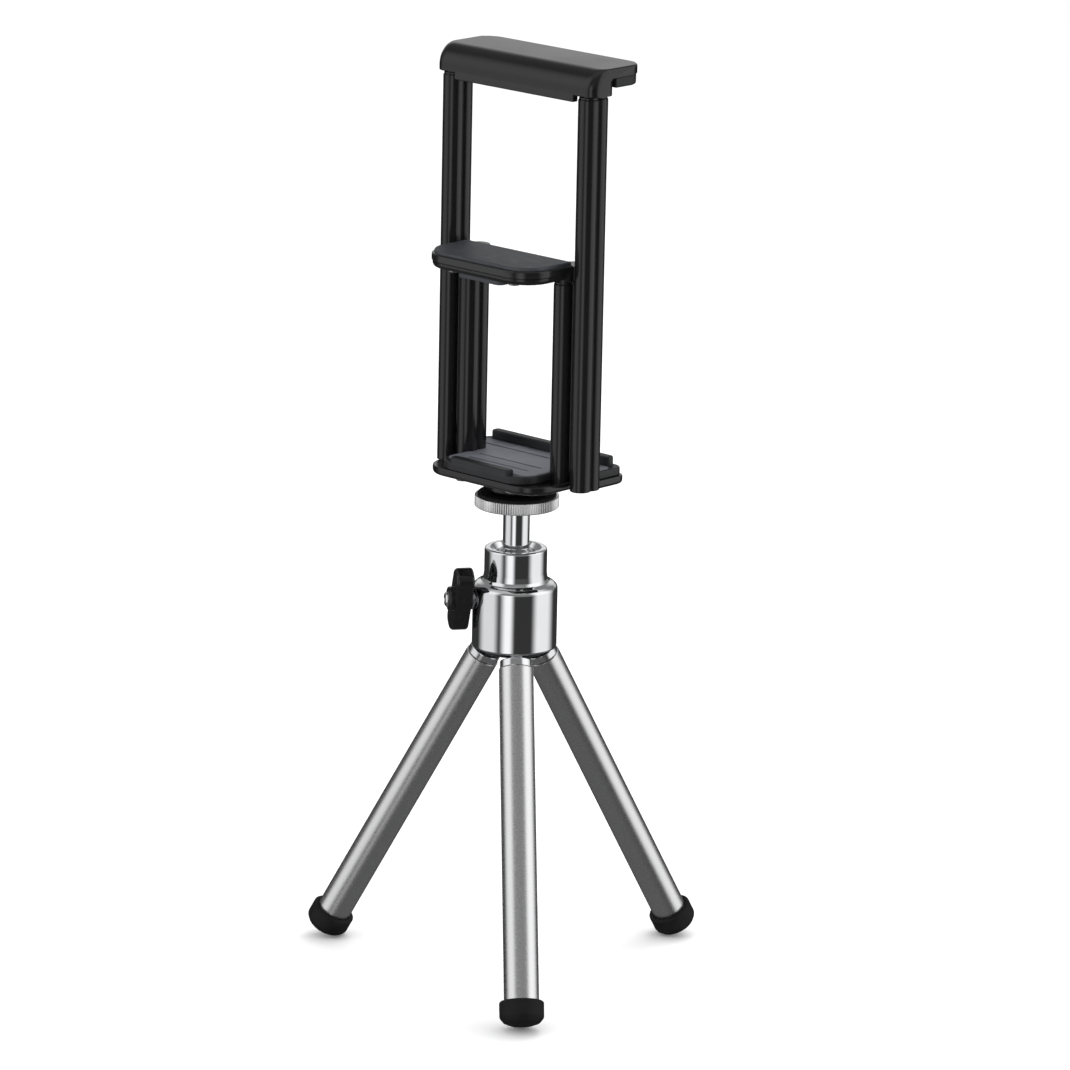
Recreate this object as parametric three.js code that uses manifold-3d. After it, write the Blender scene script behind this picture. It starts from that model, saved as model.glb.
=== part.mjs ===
// Phone and tablet holder on a miniature ball-head tripod.
// Millimetres, +Z up. X runs along the jaws, -Y is the phone side, +Y is the tablet side.
// Every height below is measured from the ground; the tripod's axis is x = y = 0 until the last step,
// which moves the assembly so that its origin is the bottom centre of its own box.
import * as THREE from 'three';
import { mergeVertices } from 'three/addons/utils/BufferGeometryUtils.js';
import Module from 'manifold-3d';

const wasm = await Module();
wasm.setup();

// ---------------------------------------------------------------- clearances and facet counts
const RUN = 0.08;            // radial clearance of a sliding or turning fit
const SEAT = 0.1;            // gap between fixed pieces that rest on or in one another
const TURNED_GAP = 0.3;      // gap to pieces that stand inside a turned group
const OVER = 1;              // how far a cut or a joined piece runs past the face it meets
const EDGE = 0.3;            // width of a small chamfer
const ROUND = 32;            // facets round a large turned piece
const FINE = 20;             // facets round a small turned piece
const CORNER = 2;            // half the facets on a rounded corner
const BARREL_FACETS = 5;     // half the facets on each side of a post

// ---------------------------------------------------------------- tripod: legs
const LEG_COUNT = 3;
const FRONT_LEG_DEG = -43;   // heading of the first leg, from +X
const LEG_SPREAD = 29.2;     // degrees between an opened leg and the vertical
const PIVOT_RADIUS = 7.7;    // hinge pins from the tripod's axis
const PIVOT_Z = 98;
const LEG_OD = 10;
const LEG_WALL = 0.8;
const LEG_BORE_R = LEG_OD / 2 - LEG_WALL;
const CAP_TOP = 2.3;         // polished cap ring, below the pin
const CAP_H = 2.4;
const CAP_SET = 0.3;         // step from the tube in to the cap ring
const TONGUE_W = 6;
const TONGUE_T = 3;
const SPIGOT_L = 8;
const LEG_END = 106;         // tube's lower end, below the pin
const FOOT_GRIP = 4.2;       // how far a foot reaches up the tube
const FOOT_L = 7;
const FOOT_WALL = 1.3;
const FOOT_RIM = 0.4;        // chamfer round the foot's mouth
const FOOT_SOLE = 0.55;      // flat of the sole, as a share of the foot's radius
const FOOT_ROLL = 0.86;      // where the sole turns up, as a share of the foot's radius
const FOOT_ROLL_H = 0.7;
const FOOT_SIDE_H = 2.1;     // start of the straight side, up from the sole
const PIN_D = 2;
const PIN_L = 9;
const PIN_FACETS = 12;

// ---------------------------------------------------------------- ball head
const BODY_Z = PIVOT_Z + 0.3; // lower rim of the body
const BODY_D = 24.5;
const BODY_RIM = 0.65;       // width of the lower rim
const BODY_EDGE = 0.25;
const WALL_TOP = BODY_Z + 16.3; // where the shoulder starts
const SHOULDER_Z = WALL_TOP + 3.1;
const SHOULDER_STEPS = 5;
const COLLAR_D = 18.1;
const COLLAR_FLARE = 0.2;
const COLLAR_FLARE_H = 1.6;
const COLLAR_Z = SHOULDER_Z + 9.9; // upper rim of the collar
const COLLAR_ROLL = 0.35;    // the collar's rounded rim: inwards, and down its side
const COLLAR_ROLL_H = 1.2;
const BALL_R = 7.3;
const BALL_GAP = 0.15;
const BALL_Z = COLLAR_Z - 6.4;
const LIP_R = BALL_R - 1.1;  // the lip that holds the ball down
const DISH_R = BALL_R + 0.5;
const DISH_RIM = 0.4;
const DISH_DROP = 0.1;
const BORE_R = BALL_R + 0.3;
const RECESS_H = 4.9;        // recess for the leg hub, up from the rim
const RECESS_R = BODY_D / 2 - BODY_RIM;
const HUB_FIT = 0.2;
const HUB_R = RECESS_R - HUB_FIT;
const HUB_TAPER = 2.4;
const HUB_LOW = PIVOT_Z - 1.4;
const HUB_EDGE_Z = PIVOT_Z + 0.2;
const SCREW_R = 1.5;
const SCREW_HEAD_R = 2.6;
const SCREW_HEAD_H = 1.2;
const HEX_R = 1;
const HEX_DEPTH = 0.7;
const STEM_D = 7.7;
const STEM_EDGE = 0.2;
const STEM_TOP = BALL_Z + 17.8;
const STEM_BORE = 8;         // depth of the stem's blind hole
const PAN_R = BORE_R - 0.15;
const PAN_LOW = BALL_Z - 11.6;
const PAN_CONE_TOP = BALL_Z - 6.4;
const PAN_LOW_R = PAN_R - 2.85;
const PAN_HIGH = BALL_Z - 3.8;

// ---------------------------------------------------------------- clamp knob
const KNOB_DEG = 235;        // heading of the knob's screw, from +X
const KNOB_Z = PAN_LOW + 2.9; // level with the seat's cone
const KNOB_TURN = 30;        // degrees the wing is turned from upright
const KNOB_SCREW_R = 2.2;
const KNOB_TIP_X = BORE_R;   // screw tip from the tripod's axis
const KNOB_TIP_R = 0.7;
const KNOB_CONE_L = 1.6;
const KNOB_DOME = 0.4;
const WASHER_R = 3.1;
const WASHER_T = 0.6;
const WING_L = 21.5;
const WING_W = 7;
const WING_T = 5.4;
const WING_TIP_FLAT = 0.4;   // flat left at each tip, half its width
const KNOB_HUB_R = 3.6;
const KNOB_HUB_H = 1.2;
const KNOB_HUB_EDGE = 0.5;
const KNOB_END = 0.9;        // screw's domed end past the outer hub

// ---------------------------------------------------------------- lock disc
const DISC_D = 24.4;
const DISC_H = 3.6;
const DISC_CONE = 0.6;
const DISC_Z = STEM_TOP + DISC_CONE;
const DISC_RIM = 0.8;        // metal left round the pad
const DISC_PAD_SUNK = 0.5;
const DISC_PAD_T = 1.4;
const DISC_PAD_LIFT = 0.05;
const DISC_PAD_R = DISC_D / 2 - DISC_RIM - SEAT;
const DISC_PAD_LOW = DISC_Z + DISC_H - DISC_PAD_SUNK + DISC_PAD_LIFT;
const DISC_PAD_TOP = DISC_PAD_LOW + DISC_PAD_T;
const STUD_R = 3.1;
const STUD_END = 0.5;        // chamfer on the stud's end, and the step down to its root
const STUD_ROOT_L = 7.8;

// ---------------------------------------------------------------- posts and slides
const OUTER_POST_X = 26.1;
const INNER_POST_X = 18.3;
const BARREL_R = 3;          // a post is two barrels side by side
const BARREL_PITCH = 3.6;
const POST_WALL = 0.55;
const POST_BORE_R = BARREL_R - POST_WALL;
const PRESS = 0.05;          // gap round a piece pressed into a post
const GUIDE_WALL = 0.4;
const SLIDE_R = POST_BORE_R - PRESS - GUIDE_WALL;
const SLIDE_BORE_R = 1.3;
const OUTER_POST_L = 113;
const INNER_POST_L = 59.1;
const GUIDE_FLANGE = 0.7;
const GUIDE_INSET = 0.25;
const GUIDE_SPIGOT = 6;
const PLUG_H = 3.9;
const SLIDE_START = 6.9;     // lower end of a closed slide, up from the post's
const SOCKET_DEPTH = 4;
const SPRING_R = 0.9;
const WIRE_R = 0.2;
const SPRING_STEPS = 6;      // steps in each turn
const INNER_TURNS = 10;
const OUTER_TURNS = 16;

// ---------------------------------------------------------------- base
const BOSS_R = 8.7;
const BOSS_H = 4;
const BOSS_GAP = 0.35;
const BOSS_LOW = DISC_PAD_TOP + BOSS_GAP;
const BASE_LOW = BOSS_LOW + BOSS_H;
const SHELL_H = 2.5;
const SHELL_FLOOR = 1.2;
const SHELL_WALL = 1.6;
const PLATE_H = 2.4;
const NEAR_Y = -17;
const FAR_Y = 17.5;
const NEAR_WALL = 0.6;       // outside the inner posts
const NEAR_HALF = INNER_POST_X + BARREL_R + SEAT + NEAR_WALL;
const FAR_HALF = 27;
const NEAR_R = 8;
const FAR_R = 4;
const PLATE_NEAR_HALF = 17.3;
const PLATE_FAR_HALF = 26;
const PLATE_INSET = 0.3;
const STEP_Y = 1;            // where the outline widens, hidden between the posts
const POCKET_R = 3;
const POCKET_NEAR = 5.6;     // the pocket's edge, in from the near edge
const INSERT_R = 4.5;
const INSERT_SET = 0.3;
const INSERT_LOW = BOSS_LOW + INSERT_SET;
const INSERT_H = BOSS_H + SHELL_H - INSERT_SET;
const STUD_TOP = INSERT_LOW + 5.6;
const POST_LOW = BASE_LOW + 0.6;
const OUTER_POST_TOP = POST_LOW + OUTER_POST_L;
const INNER_POST_TOP = POST_LOW + INNER_POST_L;
const SLIDE_LOW = POST_LOW + SLIDE_START;
const LIP_CORNER = 1.4;
const NEAR_LIP_HALF = 11.5;
const NEAR_LIP_W = 3.3;
const NEAR_LIP_H = 1.4;
const FAR_LIP_HALF = 23;
const FAR_LIP_W = 3.2;
const FAR_LIP_H = 2.6;
const FAR_LIP_SET = 1.1;
const PAD_T = 1;
const PAD_MARGIN = 0.9;
const GROOVES = [            // across the pad: place along Y, half length
  [-8, 11.6],
  [-3.05, 12.2],
  [7.5, 21],
];
const GROOVE_W = 0.5;
const GROOVE_DEPTH = 0.5;
const SMALL_SCREW_R = 0.9;
const SMALL_HEAD_R = 1.8;
const SMALL_HEAD_H = 0.9;
const BASE_SCREW_X = 9.5;
const BASE_SCREW_Y = -13;
const SMALL_SCREW_L = 3;
const PLATE_SCREW = 1.4;     // depth of a screw hole above the joint between two halves

// ---------------------------------------------------------------- phone jaw
const PHONE_CAP_DROP = 0.4;  // the caps reach below the jaw's underside
const PHONE_CLOSED = 0.3;    // gap left under the caps when the jaw is shut
const PHONE_JAW_Z = INNER_POST_TOP + GUIDE_FLANGE + PHONE_CLOSED + PHONE_CAP_DROP;
const PHONE_SOCKET = 3.2;
const PHONE_FLOOR = 1;
const PHONE_SHELL_H = 3.8;
const PHONE_COVER_H = 1.2;
const PHONE_NEAR_Y = -20.3;
const PHONE_FAR_Y = -1.2;
const PHONE_HALF = INNER_POST_X + BARREL_R - 0.1;
const PHONE_R = 9;
const PHONE_WALL = 1.5;
const PHONE_CAVITY_HALF = 14;
const PHONE_CAVITY_R = 5;
const PHONE_CAP_R = BARREL_R + 0.15;
const PHONE_COVER_INSET = 0.4;
const PHONE_PAD_HALF = 8.6;
const PHONE_PAD_Y = [-18, -6];
const PHONE_PAD_T = 1.5;
const TABLET_PAD_T = 0.8;
const JAW_PAD_R = 2;
const GLUE = 0.05;           // gap under a glued pad or a screw head
const PHONE_SCREW_X = 11.7;
const PHONE_SCREW_Y = -15.5;

// ---------------------------------------------------------------- tablet jaw
const TABLET_CLOSED = 0.2;   // gap left over the posts' guides when the jaw is shut
const TABLET_LOW = OUTER_POST_TOP + GUIDE_FLANGE + TABLET_CLOSED; // underside of the end blocks
const TABLET_TOP = TABLET_LOW + 7.7;
const TABLET_HALF = OUTER_POST_X + BARREL_R + 1.4;
const SOCKET_REACH = BARREL_PITCH / 2 + SLIDE_R; // slides' edge from the posts' middle
const TABLET_NEAR_Y = -SOCKET_REACH - 1.2;
const TABLET_FAR_Y = 17;
const TABLET_ARC = 6.1;
const TABLET_ROLL = 0.7;     // radius along the far upper edge
const TABLET_LAYER_Z = TABLET_LOW + 4.9;
const TABLET_PLATE_Z = TABLET_LOW + 1.9;
const TABLET_PLATE_INSET = 0.3;
const TABLET_FAR_R = 6;
const TABLET_NEAR_R = 3;
const TABLET_WALL = 1.4;
const SKIRT_DROP = 1.9;
const SKIRT_CLEAR = 0.15;    // from the skirt's end to the post
const WEB_R = 3.2;           // corner of the end blocks, past the posts
const WEB_Y = SOCKET_REACH + SEAT + 1;
const TABLET_PAD_MARGIN = 1.2;
const TABLET_PAD_FAR = 2;
const TABLET_SCREW_X = 20;
const TABLET_SCREW_Y = 8;

// ---------------------------------------------------------------- materials
const finish = (color, metalness, roughness) => () =>
  new THREE.MeshStandardMaterial({ color, metalness, roughness });
const chrome = finish(0xd9dade, 1, 0.08);
const aluminium = finish(0xc4c5c8, 1, 0.35);
const steel = finish(0x9c9ea3, 1, 0.3);
const brass = finish(0xb8964c, 1, 0.35);
const glossBlack = finish(0x17181a, 0, 0.25);
const satinBlack = finish(0x2b2c30, 0, 0.5);
const rubber = finish(0x141414, 0, 0.85);
const nylon = finish(0xd8d6cf, 0, 0.5);

// ---------------------------------------------------------------- solids
const rad = THREE.MathUtils.degToRad;

function solid(geometry) {
  const bare = geometry.clone();
  bare.deleteAttribute('normal');
  bare.deleteAttribute('uv');
  const merged = mergeVertices(bare, 1e-4);
  const index = merged.index.array;
  const kept = [];
  for (let i = 0; i < index.length; i += 3) {
    const [a, b, c] = [index[i], index[i + 1], index[i + 2]];
    if (a !== b && b !== c && c !== a) kept.push(a, b, c);
  }
  const vertProperties = new Float32Array(merged.attributes.position.array);
  const triVerts = new Uint32Array(kept);
  return new wasm.Manifold(new wasm.Mesh({ numProp: 3, vertProperties, triVerts }));
}

function geometryOf(body) {
  const mesh = body.getMesh();
  const geometry = new THREE.BufferGeometry();
  const positions = new THREE.BufferAttribute(new Float32Array(mesh.vertProperties), 3);
  geometry.setAttribute('position', positions);
  geometry.setIndex(new THREE.BufferAttribute(new Uint32Array(mesh.triVerts), 1));
  geometry.computeVertexNormals();
  return geometry;
}

const join = (first, ...rest) => rest.reduce((sum, body) => sum.add(body), first);
const cut = (first, ...rest) => rest.reduce((sum, body) => sum.subtract(body), first);

// A profile of [radius, height] pairs, anticlockwise, turned about Z.
function turned(profile, facets = ROUND) {
  const points = profile.map(([r, z]) => new THREE.Vector2(r, z));
  const geometry = new THREE.LatheGeometry(points, facets);
  geometry.rotateX(Math.PI / 2);
  return solid(geometry);
}

const rod = (radius, low, high, facets = FINE) =>
  turned([[0, low], [radius, low], [radius, high], [0, high]], facets);

// A flat outline raised from one height to another.
function prism(shape, low, high, facets = CORNER) {
  const options = { depth: high - low, bevelEnabled: false, curveSegments: facets };
  const geometry = new THREE.ExtrudeGeometry(shape, options);
  geometry.translate(0, 0, low);
  return solid(geometry);
}

function block(x0, x1, y0, y1, z0, z1) {
  const geometry = new THREE.BoxGeometry(x1 - x0, y1 - y0, z1 - z0);
  geometry.translate((x0 + x1) / 2, (y0 + y1) / 2, (z0 + z1) / 2);
  return solid(geometry);
}

// A cylinder along X or Y.
function crossRod(axis, radius, from, to, facets = FINE) {
  const body = rod(radius, from, to, facets);
  return axis === 'x' ? body.rotate([0, 90, 0]) : body.rotate([-90, 0, 0]);
}

// ---------------------------------------------------------------- outlines
// A closed outline through corners [x, y, radius]; a radius of 0 is a sharp corner.
function outline(corners) {
  const shape = new THREE.Shape();
  const count = corners.length;
  for (let i = 0; i < count; i += 1) {
    const here = new THREE.Vector2(corners[i][0], corners[i][1]);
    const before = corners[(i + count - 1) % count];
    const after = corners[(i + 1) % count];
    const back = new THREE.Vector2(before[0], before[1]).sub(here).normalize();
    const ahead = new THREE.Vector2(after[0], after[1]).sub(here).normalize();
    const half = Math.acos(back.dot(ahead)) / 2;
    const reach = corners[i][2] / Math.tan(half);
    const start = here.clone().addScaledVector(back, reach);
    const end = here.clone().addScaledVector(ahead, reach);
    if (i === 0) shape.moveTo(start.x, start.y);
    else shape.lineTo(start.x, start.y);
    if (corners[i][2] > 0) {
      const centre = here.clone()
        .addScaledVector(back.clone().add(ahead).normalize(), corners[i][2] / Math.sin(half));
      const from = Math.atan2(start.y - centre.y, start.x - centre.x);
      const to = Math.atan2(end.y - centre.y, end.x - centre.x);
      const clockwise = back.cross(ahead) > 0;
      shape.absarc(centre.x, centre.y, corners[i][2], from, to, clockwise);
    }
  }
  shape.closePath();
  return shape;
}

const roundedBar = (x0, x1, y0, y1, r) =>
  outline([[x0, y0, r], [x1, y0, r], [x1, y1, r], [x0, y1, r]]);

// Two overlapping circles, one barrel in front of the other.
function doubleBarrel(radius, x = 0) {
  const half = BARREL_PITCH / 2;
  const meet = Math.asin(half / radius);
  const shape = new THREE.Shape();
  shape.absarc(x, half, radius, -meet, Math.PI + meet, false);
  shape.absarc(x, -half, radius, Math.PI - meet, meet, false);
  return shape;
}

const barrels = (radius, x, low, high) => prism(doubleBarrel(radius, x), low, high, BARREL_FACETS);

// ---------------------------------------------------------------- assembly helpers
const assembly = new THREE.Group();

function add(name, body, material, parent = assembly) {
  const mesh = new THREE.Mesh(geometryOf(body), material());
  mesh.name = name;
  parent.add(mesh);
}

// ---------------------------------------------------------------- legs
function legPlug() {
  const tongueTop = TONGUE_W / 2;
  const flag = new THREE.Shape();
  flag.moveTo(tongueTop, CAP_TOP + SEAT);
  flag.lineTo(tongueTop, 0);
  flag.absarc(0, 0, tongueTop, 0, -Math.PI, true);
  flag.lineTo(-tongueTop, CAP_TOP + SEAT);
  flag.closePath();
  const tongue = prism(flag, -TONGUE_T / 2, TONGUE_T / 2, 2 * CORNER).rotate([-90, 0, 0]);
  const capLow = -CAP_TOP - CAP_H;
  const capR = LEG_OD / 2 - CAP_SET;
  const spigotR = LEG_BORE_R - SEAT;
  const cap = turned([
    [0, capLow - SPIGOT_L], [spigotR, capLow - SPIGOT_L], [spigotR, capLow], [capR, capLow],
    [capR, -CAP_TOP - EDGE], [capR - EDGE, -CAP_TOP], [0, -CAP_TOP],
  ], FINE);
  const pinHole = crossRod('y', PIN_D / 2 + RUN, -TONGUE_T, TONGUE_T, PIN_FACETS);
  return cut(join(cap, tongue), pinHole);
}

function legTube() {
  const top = -CAP_TOP - CAP_H - SEAT;
  return turned([
    [LEG_BORE_R, -LEG_END], [LEG_OD / 2, -LEG_END], [LEG_OD / 2, top], [LEG_BORE_R, top],
    [LEG_BORE_R, -LEG_END],
  ], FINE);
}

function foot() {
  const top = FOOT_GRIP - LEG_END;
  const end = top - FOOT_L;
  const socket = LEG_OD / 2 + SEAT;
  const r = socket + FOOT_WALL;
  return turned([
    [0, end], [r * FOOT_SOLE, end], [r * FOOT_ROLL, end + FOOT_ROLL_H], [r, end + FOOT_SIDE_H],
    [r, top - FOOT_RIM * 1.5], [r - FOOT_RIM, top], [socket, top], [socket, -LEG_END - SEAT],
    [0, -LEG_END - SEAT],
  ], FINE);
}

function addLegs() {
  for (let i = 0; i < LEG_COUNT; i += 1) {
    const heading = new THREE.Group();
    heading.rotation.z = rad(FRONT_LEG_DEG + (i * 360) / LEG_COUNT);
    const hinge = new THREE.Group();
    hinge.position.set(PIVOT_RADIUS, 0, PIVOT_Z);
    heading.add(hinge);
    const leg = new THREE.Group();
    leg.rotation.y = rad(-LEG_SPREAD);
    hinge.add(leg);
    assembly.add(heading);
    add(`leg_plug_${i + 1}`, legPlug(), chrome, leg);
    add(`leg_tube_${i + 1}`, legTube(), aluminium, leg);
    add(`foot_${i + 1}`, foot(), rubber, leg);
    add(`hinge_pin_${i + 1}`, crossRod('y', PIN_D / 2, -PIN_L / 2, PIN_L / 2, PIN_FACETS),
      steel, hinge);
  }
}

function legHub() {
  const top = BODY_Z + RECESS_H - SEAT;
  const headTop = HUB_LOW + SCREW_HEAD_H + SEAT;
  let hub = turned([
    [0, HUB_LOW], [HUB_R - HUB_TAPER, HUB_LOW], [HUB_R, HUB_EDGE_Z], [HUB_R, top], [0, top],
  ]);
  hub = cut(hub, rod(SCREW_R + SEAT, HUB_LOW - OVER, top + OVER, PIN_FACETS));
  hub = cut(hub, rod(SCREW_HEAD_R + SEAT, HUB_LOW - OVER, headTop, FINE));
  const slotHalf = TONGUE_T / 2 + TURNED_GAP;
  const slotIn = PIVOT_RADIUS - TONGUE_W / 2 - OVER;
  const slotTop = PIVOT_Z + TONGUE_W / 2 + 2 * TURNED_GAP;
  const pinReach = PIN_L / 2 + 0.4;
  for (let i = 0; i < LEG_COUNT; i += 1) {
    const turn = [0, 0, FRONT_LEG_DEG + (i * 360) / LEG_COUNT];
    const slot = block(slotIn, RECESS_R + OVER, -slotHalf, slotHalf, HUB_LOW - OVER, slotTop);
    const hole = crossRod('y', PIN_D / 2 + TURNED_GAP / 2, -pinReach, pinReach, PIN_FACETS)
      .translate([PIVOT_RADIUS, 0, PIVOT_Z]);
    hub = cut(hub, slot.rotate(turn), hole.rotate(turn));
  }
  return hub;
}

function hubScrew() {
  const low = HUB_LOW + SEAT;
  const head = HUB_LOW + SCREW_HEAD_H;
  const end = BODY_Z + RECESS_H - SEAT - TURNED_GAP;
  const hex = rod(HEX_R, HUB_LOW - OVER, HUB_LOW + HEX_DEPTH, 6);
  const screw = turned([
    [0, low], [SCREW_HEAD_R, low], [SCREW_HEAD_R, head], [SCREW_R, head],
    [SCREW_R, end], [0, end],
  ], FINE);
  return cut(screw, hex);
}

// ---------------------------------------------------------------- ball head
function arcPoints(centreR, centreZ, radius, fromDeg, toDeg, steps) {
  const points = [];
  for (let i = 0; i <= steps; i += 1) {
    const a = rad(fromDeg + ((toDeg - fromDeg) * i) / steps);
    points.push([centreR + radius * Math.cos(a), centreZ + radius * Math.sin(a)]);
  }
  return points;
}

function headBody() {
  const r = BODY_D / 2;
  const neck = COLLAR_D / 2 + COLLAR_FLARE;
  const seatR = BALL_R + BALL_GAP;
  const lipZ = BALL_Z + Math.sqrt(seatR * seatR - LIP_R * LIP_R);
  const lipDeg = THREE.MathUtils.radToDeg(Math.acos(LIP_R / seatR));
  const shoulder = [];
  for (let i = 1; i < SHOULDER_STEPS; i += 1) {
    const a = rad((90 * i) / SHOULDER_STEPS);
    shoulder.push([neck + (r - neck) * Math.cos(a), WALL_TOP + (SHOULDER_Z - WALL_TOP) * Math.sin(a)]);
  }
  const recessTop = BODY_Z + RECESS_H;
  const rim = [RECESS_R, BODY_Z];
  const shell = turned([
    rim, [r - BODY_EDGE, BODY_Z], [r, BODY_Z + BODY_EDGE], [r, WALL_TOP], ...shoulder,
    [neck, SHOULDER_Z], [COLLAR_D / 2, SHOULDER_Z + COLLAR_FLARE_H],
    [COLLAR_D / 2, COLLAR_Z - COLLAR_ROLL_H], [COLLAR_D / 2 - COLLAR_ROLL, COLLAR_Z - COLLAR_ROLL],
    [DISH_R + DISH_RIM, COLLAR_Z], [DISH_R, COLLAR_Z - DISH_DROP], [LIP_R, lipZ + DISH_DROP],
    ...arcPoints(0, BALL_Z, seatR, lipDeg, 0, 7), [BORE_R, BALL_Z - EDGE],
    [BORE_R, recessTop], [RECESS_R, recessTop], rim,
  ]);
  const screwHole = crossRod('x', KNOB_SCREW_R + TURNED_GAP / 2, BORE_R - 1.5 * OVER, r + OVER, FINE)
    .translate([0, 0, KNOB_Z]).rotate([0, 0, KNOB_DEG]);
  return cut(shell, screwHole);
}

function ballSeat() {
  const cup = BALL_R + BALL_GAP;
  const rimR = Math.sqrt(cup * cup - (BALL_Z - PAN_HIGH) ** 2);
  const low = -THREE.MathUtils.radToDeg(Math.acos(rimR / cup));
  const hollow = arcPoints(0, BALL_Z, cup, low, -90, 6).map(([x, z]) => [Math.max(x, 0), z]);
  hollow[hollow.length - 1][0] = 0;
  return turned([
    [0, PAN_LOW], [PAN_LOW_R, PAN_LOW], [PAN_R, PAN_CONE_TOP], [PAN_R, PAN_HIGH], ...hollow,
  ], FINE);
}

function ballStem() {
  const stem = STEM_D / 2;
  const meet = THREE.MathUtils.radToDeg(Math.acos(stem / BALL_R));
  const sphere = arcPoints(0, BALL_Z, BALL_R, -90, meet, 9);
  sphere[0][0] = 0;
  return cut(
    turned([
      ...sphere, [stem, STEM_TOP - STEM_EDGE], [stem - STEM_EDGE, STEM_TOP], [0, STEM_TOP],
    ], FINE),
    rod(STUD_R - STUD_END + SEAT, STEM_TOP - STEM_BORE, STEM_TOP + OVER, FINE),
  );
}

const stud = () => turned([
  [0, STEM_TOP - STUD_ROOT_L], [STUD_R - STUD_END, STEM_TOP - STUD_ROOT_L],
  [STUD_R - STUD_END, STEM_TOP + SEAT], [STUD_R, STEM_TOP + SEAT], [STUD_R, STUD_TOP - STUD_END],
  [STUD_R - STUD_END, STUD_TOP], [0, STUD_TOP],
], FINE);

function lockDisc() {
  const r = DISC_D / 2;
  const top = DISC_Z + DISC_H;
  const hole = STUD_R + RUN;
  const low = DISC_Z - DISC_CONE + SEAT;
  const ring = [hole, low];
  return turned([
    ring, [STEM_D / 2 + EDGE, low], [r - EDGE, DISC_Z], [r, DISC_Z + EDGE], [r, top - EDGE],
    [r - EDGE, top], [DISC_PAD_R + SEAT, top], [DISC_PAD_R + SEAT, top - DISC_PAD_SUNK],
    [hole, top - DISC_PAD_SUNK], ring,
  ]);
}

function discPad() {
  const bore = STUD_R + RUN * 2;
  const ring = [bore, DISC_PAD_LOW];
  const edge = 0.2;
  return turned([
    ring, [DISC_PAD_R, DISC_PAD_LOW], [DISC_PAD_R - edge, DISC_PAD_TOP - edge],
    [DISC_PAD_R - 3 * edge, DISC_PAD_TOP], [bore, DISC_PAD_TOP], ring,
  ]);
}

// ---------------------------------------------------------------- clamp knob, along +X of its group
function addKnob() {
  const knob = new THREE.Group();
  knob.position.z = KNOB_Z;
  knob.rotation.z = rad(KNOB_DEG);
  assembly.add(knob);
  const washerX = BODY_D / 2 + TURNED_GAP / 2;
  const wingX = washerX + WASHER_T + TURNED_GAP / 2;
  const hubX = wingX + WING_T;
  const endX = hubX + KNOB_HUB_H + KNOB_END;
  const bore = KNOB_SCREW_R + SEAT;

  const screw = turned([
    [0, KNOB_TIP_X], [KNOB_TIP_R, KNOB_TIP_X], [KNOB_SCREW_R, KNOB_TIP_X + KNOB_CONE_L],
    [KNOB_SCREW_R, endX - KNOB_DOME], [KNOB_SCREW_R - KNOB_DOME, endX], [0, endX],
  ], FINE).rotate([0, 90, 0]);
  add('knob_screw', screw, chrome, knob);

  const washerRim = [bore, washerX];
  const washer = turned([
    washerRim, [WASHER_R, washerX], [WASHER_R, washerX + WASHER_T], [bore, washerX + WASHER_T],
    washerRim,
  ], FINE).rotate([0, 90, 0]);
  add('knob_washer', washer, steel, knob);

  const tip = WING_W / 2 - WING_TIP_FLAT;
  const shape = roundedBar(-WING_L / 2, WING_L / 2, -WING_W / 2, WING_W / 2, tip);
  const hubEnd = hubX + KNOB_HUB_H;
  const wing = join(
    prism(shape, wingX, hubX, 2 * CORNER),
    turned([
      [0, hubX - OVER], [KNOB_HUB_R, hubX - OVER], [KNOB_HUB_R, hubEnd - KNOB_HUB_EDGE],
      [KNOB_HUB_R - KNOB_HUB_EDGE, hubEnd], [0, hubEnd],
    ], FINE),
  );
  const bored = cut(wing, rod(bore, wingX - OVER, endX + OVER, FINE));
  add('wing_knob', bored.rotate([0, 90, 0]).rotate([-KNOB_TURN, 0, 0]), glossBlack, knob);
}

// ---------------------------------------------------------------- posts, slides and springs
function post(x, top) {
  return cut(
    barrels(BARREL_R, x, POST_LOW, top),
    barrels(POST_BORE_R, x, POST_LOW - OVER, top + OVER),
  );
}

// Guide in the mouth of a post: a flange on the rim and a spigot in the bore.
function postCollar(x, top) {
  return cut(
    join(
      barrels(BARREL_R - GUIDE_INSET, x, top + PRESS, top + GUIDE_FLANGE),
      barrels(POST_BORE_R - PRESS, x, top - GUIDE_SPIGOT, top + 2 * PRESS),
    ),
    barrels(SLIDE_R + RUN, x, top - GUIDE_SPIGOT - OVER, top + GUIDE_FLANGE + OVER),
  );
}

const postPlug = (x) => barrels(POST_BORE_R - PRESS, x, POST_LOW, POST_LOW + PLUG_H);

function slide(x, top) {
  const bore = rod(SLIDE_BORE_R, SLIDE_LOW - OVER, top + OVER, PIN_FACETS);
  return cut(barrels(SLIDE_R, x, SLIDE_LOW, top), bore.translate([x, -BARREL_PITCH / 2, 0]));
}

class Helix extends THREE.Curve {
  constructor(radius, low, high, turns) {
    super();
    this.radius = radius;
    this.low = low;
    this.high = high;
    this.turns = turns;
  }

  getPoint(t, target = new THREE.Vector3()) {
    const a = t * this.turns * Math.PI * 2;
    const z = this.low + (this.high - this.low) * t;
    return target.set(this.radius * Math.cos(a), this.radius * Math.sin(a), z);
  }
}

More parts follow.
